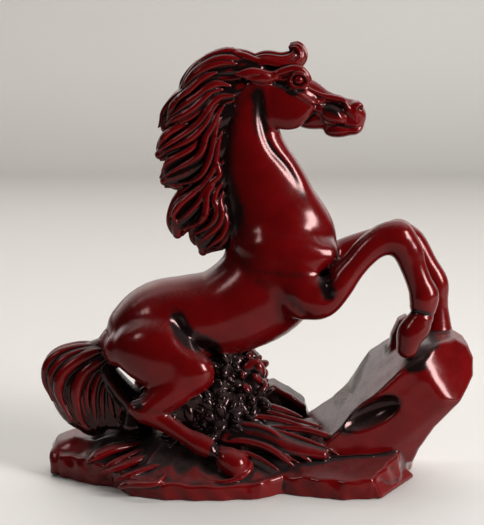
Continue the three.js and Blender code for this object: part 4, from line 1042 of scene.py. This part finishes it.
def gather(target, grid, fields):
    """All pieces' fields joined, the target's own field and the nearest of the others."""
    whole, own, others = (np.full(grid.shape, FAR, np.float32) for _ in range(3))
    for p in neighbours(*mesh_box(target)):
        first, field = fields[(p.name, target.step)]
        shift = first - grid.first
        a = np.maximum(shift, 0)
        b = np.minimum(shift + field.shape, grid.shape)
        if np.any(a >= b):
            continue
        there = tuple(slice(u, v) for u, v in zip(a, b))
        piece = field[tuple(slice(u, v) for u, v in zip(a - shift, b - shift))]
        whole[there] = smin(whole[there], piece, p.soft)
        mine = own if p is target else others
        mine[there] = np.minimum(mine[there], piece)
    for mark in CARVING:
        mark.carve(grid, whole)
    return whole, own, others


# How far inside its neighbours a place counts as hidden
HIDDEN = 0.35
# The blurs that find hollows: reach in mm, least steps and weight
HOLLOW_BLURS = ((0.5, 1, 2.2), (1.1, 2, 1.2))


def shape_piece(target, fields):
    """Places in mm, faces, normals and cavity for one piece."""
    step = target.step
    standing = target.name == "base_plinth"
    low, high = mesh_box(target)
    if standing:
        low[2] = -4 * step
    grid = Grid(low, high, step)
    whole, own, others = gather(target, grid, fields)
    if target.smooth:
        whole = soften(np.clip(whole, -4, 4), target.smooth)
    margin = own - others
    field = np.maximum(whole + SINK * np.maximum(margin, 0), margin - OVERLAP)
    if standing:
        field = np.maximum(field, -grid.axes[2])
    for axis in range(3):
        np.moveaxis(field, axis, 0)[[0, -1]] = 1.0
    places, faces = skin(field)
    normal, size = slopes(field, places, 3)
    move = np.clip(sample(field, places) / np.maximum(size, 1e-3), -0.5, 0.5)
    places = places - normal * move[:, None] * 0.7
    hidden = sample(own, places) - sample(others, places) > HIDDEN
    normal = np.where(hidden[:, None], normal, slopes(whole, places, 3)[0])
    near = np.clip(whole, -1.0, 1.0)
    cavity = 0
    for reach, least, weight in HOLLOW_BLURS:
        cavity = cavity - sample(box_blur(near, max(least, round(reach / step))), places) * weight
    return (places + grid.first) * step, faces, normal, cavity


def build_all():
    keys = sorted({(q.name, p.step) for p in PARTS for q in neighbours(*mesh_box(p))})
    by_name = {p.name: p for p in PARTS}
    with ThreadPoolExecutor(4) as pool:
        fields = dict(zip(keys, pool.map(lambda key: by_name[key[0]].field(key[1]), keys)))
        return list(pool.map(lambda p: shape_piece(p, fields), PARTS))


# Materials


def node(tree, kind, sockets=None, **settings):
    """A shader node with its settings, its sockets set to values or linked to other nodes' outputs."""
    made = tree.nodes.new("ShaderNode" + kind)
    for name, value in settings.items():
        setattr(made, name, value)
    plug(tree, made, sockets or {})
    return made


def plug(tree, made, sockets):
    """Sets a node's sockets to values, or links them where the value is another node's output."""
    for name, value in sockets.items():
        if isinstance(value, bpy.types.NodeSocket):
            tree.links.new(value, made.inputs[name])
        else:
            made.inputs[name].default_value = value


def noise(tree, place, scale, detail, roughness=0.5):
    sockets = {"Vector": place, "Scale": scale, "Detail": detail, "Roughness": roughness}
    return node(tree, "TexNoise", sockets).outputs["Fac"]


def span(tree, value, start, end, low=0.0, high=1.0, kind="LINEAR"):
    """The value's stretch from start to end, as low to high."""
    sockets = {"Value": value, "From Min": start, "From Max": end, "To Min": low, "To Max": high}
    return node(tree, "MapRange", sockets, interpolation_type=kind).outputs["Result"]


def maths(tree, operation, *values):
    return node(tree, "Math", dict(enumerate(values)), operation=operation).outputs["Value"]


def mix(tree, share, one, two):
    """Colour one where the share is 0, colour two where it is 1."""
    return node(tree, "Mix", {0: share, 6: one, 7: two}, data_type="RGBA").outputs[2]


def new_material(name):
    """A material, its node tree, its shader and its object coordinates."""
    mat = bpy.data.materials.new(name)
    mat.use_nodes = True
    tree = mat.node_tree
    return mat, tree, tree.nodes["Principled BSDF"], node(tree, "TexCoord").outputs["Object"]


BLACK = (0.0026, 0.0024, 0.0024, 1)
SPECK = (0.32, 0.22, 0.2, 1)
# Pale pink of settled dust, and a painted sheen of reflected light, on faces turned up
DUST_AND_PAINTED_SHEEN = (0.17, 0.125, 0.12, 1)
SHEEN_TINT = (1.0, 0.62, 0.60, 1)
MOTTLE_SCALE, GRAIN_SCALE, SPECK_SCALE = 140.0, 900.0, 260.0
# How much of the colour the black wash with its painted shade, and the dust with its painted sheen, cover at
# most, and the share of cells without a speck
WASH_AND_SHADE_COVER, DUST_AND_SHEEN_COVER, SPECKLESS = 0.97, 0.24, 0.93


def resin(name, red, deep):
    """Glossy cast resin: mottled red under black wash and painted shade, with specks of dust, a fine grain
    and a film of dust and painted sheen on faces turned up.
    """
    mat, tree, shader, place = new_material(name)
    # Black wash in the hollows, with painted shade in some valleys and under the masses
    wash = node(tree, "Attribute", attribute_name="wash").outputs["Fac"]
    grain = noise(tree, place, GRAIN_SCALE, 4.0, 0.6)
    colour = mix(tree, span(tree, noise(tree, place, MOTTLE_SCALE, 3.0), 0.35, 0.65), deep, red)
    ragged = maths(tree, "ADD", wash, maths(tree, "MULTIPLY_ADD", grain, 0.5, -0.25))
    colour = mix(tree, span(tree, ragged, 0.25, 0.75, high=WASH_AND_SHADE_COVER, kind="SMOOTHSTEP"), colour, BLACK)
    cells = node(tree, "TexVoronoi", {"Vector": place, "Scale": SPECK_SCALE, "Randomness": 1.0})
    pick = node(tree, "SeparateColor", {"Color": cells.outputs["Color"]}).outputs[0]
    rare = maths(tree, "GREATER_THAN", pick, SPECKLESS)
    specks = maths(tree, "MULTIPLY", span(tree, cells.outputs["Distance"], 0.06, 0.02), rare)
    colour = mix(tree, specks, colour, SPECK)
    # Faces turned up get a paler, rougher film: settled dust, and a painted sheen of reflected light
    facing = node(tree, "NewGeometry").outputs["Normal"]
    up = node(tree, "SeparateXYZ", {0: facing}).outputs["Z"]
    dust_and_sheen = span(tree, up, 0.45, 1.0, high=DUST_AND_SHEEN_COVER, kind="SMOOTHSTEP")
    rough = maths(tree, "ADD", dust_and_sheen, span(tree, grain, 0.0, 1.0, 0.10, 0.26))
    bump = node(tree, "Bump", {"Strength": 0.12, "Distance": 0.0001, "Height": grain}).outputs["Normal"]
    looks = {
        "Base Color": mix(tree, maths(tree, "MULTIPLY", dust_and_sheen, grain), colour, DUST_AND_PAINTED_SHEEN),
        "Roughness": rough,
        "Normal": bump,
        "IOR": 1.42,
        "Specular Tint": SHEEN_TINT,
    }
    plug(tree, shader, looks)
    return mat


MATERIALS = {
    "red_resin": resin("red_resin_gloss", (0.100, 0.0011, 0.0017, 1), (0.074, 0.0007, 0.0010, 1)),
    "dark_resin": resin("dark_resin_gloss", (0.100, 0.0018, 0.0024, 1), (0.045, 0.0010, 0.0014, 1)),
}

# Stretches of black wash, some of them painted shade: path, width, strength, the y it starts from (0 for
# everywhere) and its piece, if only one
WASH_AND_SHADE_LINES = [
    # Painted shade in the valley between the shoulder and the barrel
    ([(-2.0, 60.0), (1.6, 56.6), (6.0, 51.8), (11.6, 47.4)], 3.2, 0.46, -4, ""),
    # Painted shade under the shoulder roll
    ([(5.0, 53.0), (9.6, 52.9), (14.8, 52.6), (20.0, 52.0)], 1.8, 0.46, -6, "trunk"),
    # Painted shade on the lower thigh
    ([(-28.0, 26.6), (-24.0, 22.4), (-18.0, 19.6), (-12.0, 20.6)], 2.2, 0.42, -6, "right_thigh"),
    ([(-13.6, 43.4), (-12.0, 39.4), (-9.6, 36.8), (-5.2, 34.6), (-2.6, 30.4)], 2.3, 1.15, -4, ""),
    ([(-28.0, 28.0), (-24.0, 23.4), (-21.0, 19.6)], 1.6, 0.9, 0, "right_thigh"),
    # Black wash beside the mane, spread as painted shade down the neck's side
    ([(-1.5, 96.0), (-3.6, 88.0), (-4.4, 80.0), (-3.4, 72.0), (-1.0, 66.0), (0.0, 58.0)], 4.8, 1.15, 0, ""),
    # Painted shade behind the jaw, over the black wash in its groove
    ([(6.0, 97.0), (6.6, 92.0), (7.0, 88.0), (8.2, 83.4)], 2.2, 0.9, 0, ""),
    ([(22.0, 53.4), (22.6, 49.7), (24.2, 46.5)], 2.0, 1.0, -5, ""),
    ([(9.6, 97.4), (12.4, 96.6), (14.0, 95.2), (17.0, 95.2)], 0.9, 0.9, -2, "head"),
    ([(12.8, 48.2), (15.7, 44.9), (18.6, 42.0)], 1.3, 0.55, -5, ""),
    ([(8.0, 85.0), (9.6, 81.6), (13.0, 77.6), (16.0, 73.0), (18.4, 68.0)], 0.9, 0.85, -1, ""),
    ([(21.4, 91.6), (24.0, 91.2), (26.4, 89.4)], 1.5, 0.8, -1, "head"),
    ([(41.6, 31.4), (44.6, 31.6), (48.0, 33.4)], 2.8, 1.4, -4, "rock_outcrop"),
    ([(40.0, 34.6), (46.0, 35.0), (51.0, 35.6)], 2.2, 1.2, 0, "rock_outcrop"),
    ([(25.0, 15.0), (29.0, 16.2), (33.6, 18.0), (38.0, 20.6), (41.0, 23.0)], 3.0, 1.1, -7, "rock_outcrop"),
    ([(20.0, 12.0), (28.0, 20.0), (36.0, 30.0), (40.0, 34.0)], 5.0, 0.62, 0, "rock_outcrop"),
    ([(41.6, 43.2), (44.6, 43.6), (48.4, 42.6)], 0.8, 0.9, -5, "right_fore_cannon"),
    ([(-3.8, 12.6), (-4.4, 9.6), (-5.4, 6.6)], 1.3, 1.0, -11, ""),
]


def ground_wash(x, y, z):
    """Black in the inner ground and on the boulder's far end, red on the rim, dull on the flat place."""
    out = np.hypot((x + 5) / 32, (y + 2) / np.where(y < -2, 16.5, 21))
    inner = ramp(out, 1.0, 0.8)
    plate = ramp(x, 13.0, 16.0) * ramp(y, -4.0, -6.0)
    boulder_end = ramp(x, -41.0, -43.0) * ramp(y, 0.5, 2.5)
    top = ramp(z, 3.4, 5.0)
    return (0.95 * inner * (1 - plate) + 0.22 * plate * top) * top + 0.8 * boulder_end


def washed_and_shaded(target, places, cavity):
    """How much black wash and painted shade each place holds, from its hollows and the painted stretches."""
    wash = target.wash + target.cavity * np.clip(cavity * 1.6, -0.5, 1.0)
    x, y, z = places.T
    if target.name == "base_plinth":
        return wash + ground_wash(x, y, z)
    if target.name == "tail":
        return wash + 0.8 * ramp(x, -35.0, -32.0) + 0.5 * ramp(z, 16.5, 12.5)
    if target.name.startswith("foliage"):
        return wash - 0.6 * ramp(x, 1.5, 3.5) * ramp(z, 23.0, 25.0)
    if target.name.startswith("mane"):
        return wash + 0.5 * ramp(x, -5.0, -1.0) * ramp(z, 97.0, 94.0)
    if not target.painted:
        return wash
    if target.name != "rock_outcrop":
        y = -np.abs(y)
    for path, width, gain, nearest, only in WASH_AND_SHADE_LINES:
        if only and only != target.name:
            continue
        d, share = path_distance(path, x, z)
        fade = np.clip(share * 5 + 0.4, 0, 1) * np.clip((1 - share) * 4 + 0.2, 0, 1)
        gate = ramp(y, nearest, nearest - 0.8) if nearest else 1.0
        wash = np.maximum(wash, gain * np.exp(-((d / width) ** 2)) * gate * fade)
    return wash


def make_object(target, made):
    places, faces, normal, cavity = made
    mesh = bpy.data.meshes.new(target.name + "_sculpt")
    mesh.vertices.add(len(places))
    mesh.vertices.foreach_set("co", (places * MM).astype(np.float32).ravel())
    mesh.loops.add(faces.size)
    mesh.loops.foreach_set("vertex_index", faces.astype(np.int32).ravel())
    mesh.polygons.add(len(faces))
    mesh.polygons.foreach_set("loop_start", np.arange(0, faces.size, 4, dtype=np.int32))
    mesh.update(calc_edges=True)
    mesh.validate()
    mesh.shade_smooth()
    # Black wash and painted shade, as a value on each point
    wash = mesh.attributes.new("wash", "FLOAT", "POINT")
    wash.data.foreach_set("value", washed_and_shaded(target, places, cavity).astype(np.float32))
    mesh.normals_split_custom_set_from_vertices(normal)
    mesh.materials.append(MATERIALS[target.slot])
    obj = bpy.data.objects.new(target.name + "_sculpt", mesh)
    bpy.context.scene.collection.objects.link(obj)
    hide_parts(target.name)
    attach(obj, "root")


for target, made in zip(PARTS, build_all()):
    make_object(target, made)

# Stage, light and camera, in metres

FLOOR_COLOUR = (0.62, 0.595, 0.565)
FLOOR_NEAR, FLOOR_FAR, FLOOR_HALF = -0.14, 0.62, 2.5
BEND, WALL_TOP = 0.12, 0.20


def sweep():
    """A pale floor that curves up into a backdrop."""
    mat, tree, shader, place = new_material("stage_paint")
    shade = noise(tree, place, 6.0, 3.0)
    dim = (*[c * 0.96 for c in FLOOR_COLOUR], 1)
    plug(tree, shader, {"Base Color": mix(tree, shade, dim, (*FLOOR_COLOUR, 1)), "Roughness": 0.6})
    profile = [(FLOOR_NEAR, 0.0), (FLOOR_FAR, 0.0)]
    for a in np.linspace(0.1, math.pi / 2, 12):
        profile.append((FLOOR_FAR + BEND * math.sin(a), BEND - BEND * math.cos(a)))
    profile.append((FLOOR_FAR + BEND, WALL_TOP))
    points = [(x, y, z) for y, z in profile for x in (-FLOOR_HALF, FLOOR_HALF)]
    faces = [(2 * i, 2 * i + 1, 2 * i + 3, 2 * i + 2) for i in range(len(profile) - 1)]
    mesh = bpy.data.meshes.new("floor")
    mesh.from_pydata(points, [], faces)
    mesh.shade_smooth()
    mesh.materials.append(mat)
    obj = bpy.data.objects.new("floor", mesh)
    bpy.context.scene.collection.objects.link(obj)


def aimed(name, data, at, aim):
    """An object at one place that looks at another."""
    obj = bpy.data.objects.new(name, data)
    obj.location = at
    obj.rotation_euler = (Vector(aim) - Vector(at)).to_track_quat("-Z", "Y").to_euler()
    bpy.context.scene.collection.objects.link(obj)
    return obj


def lamp(name, at, aim, size, power, colour=(1, 1, 1)):
    data = bpy.data.lights.new(name, "AREA")
    data.shape = "RECTANGLE"
    data.size, data.size_y = size
    data.energy = power
    data.color = colour
    aimed(name, data, at, aim)


sweep()
lamp("window", (0.60, -0.36, 0.30), (0.0, 0.0, 0.06), (0.22, 0.36), 8.4)
lamp("ceiling", (-0.32, 0.60, 0.56), (0.0, 0.0, 0.05), (0.05, 0.05), 0.35, (1.0, 0.84, 0.55))
lamp("fill", (-0.60, -0.50, 0.60), (0.0, 0.0, 0.05), (0.16, 0.20), 1.0)
lamp("wall wash", (0.0, 0.12, 0.75), (0.0, 0.74, 0.20), (1.6, 0.2), 4.0)

# The world is dark in front and overhead, and bright behind
world = bpy.data.worlds.new("studio")
bpy.context.scene.world = world
world.use_nodes = True
tree = world.node_tree
place = node(tree, "TexCoord").outputs["Generated"]
parts = node(tree, "SeparateXYZ", {0: place}).outputs
lean = maths(tree, "MULTIPLY_ADD", parts["Z"], 0.15, parts["Y"])
strength = span(tree, lean, 0.25, 0.9, 0.04, 2.2, "SMOOTHSTEP")
plug(tree, tree.nodes["Background"], {"Color": (1.0, 0.985, 0.965, 1), "Strength": strength})

data = bpy.data.cameras.new("camera")
data.sensor_width = 36
data.lens = FOCAL_PIXELS / PICTURE_HEIGHT * 36
data.clip_end = 20
camera = aimed("camera", data, Vector(CAMERA_AT) * MM, Vector(CAMERA_AIM) * MM)
bpy.context.scene.camera = camera
bpy.context.scene.view_settings.view_transform = "Standard"
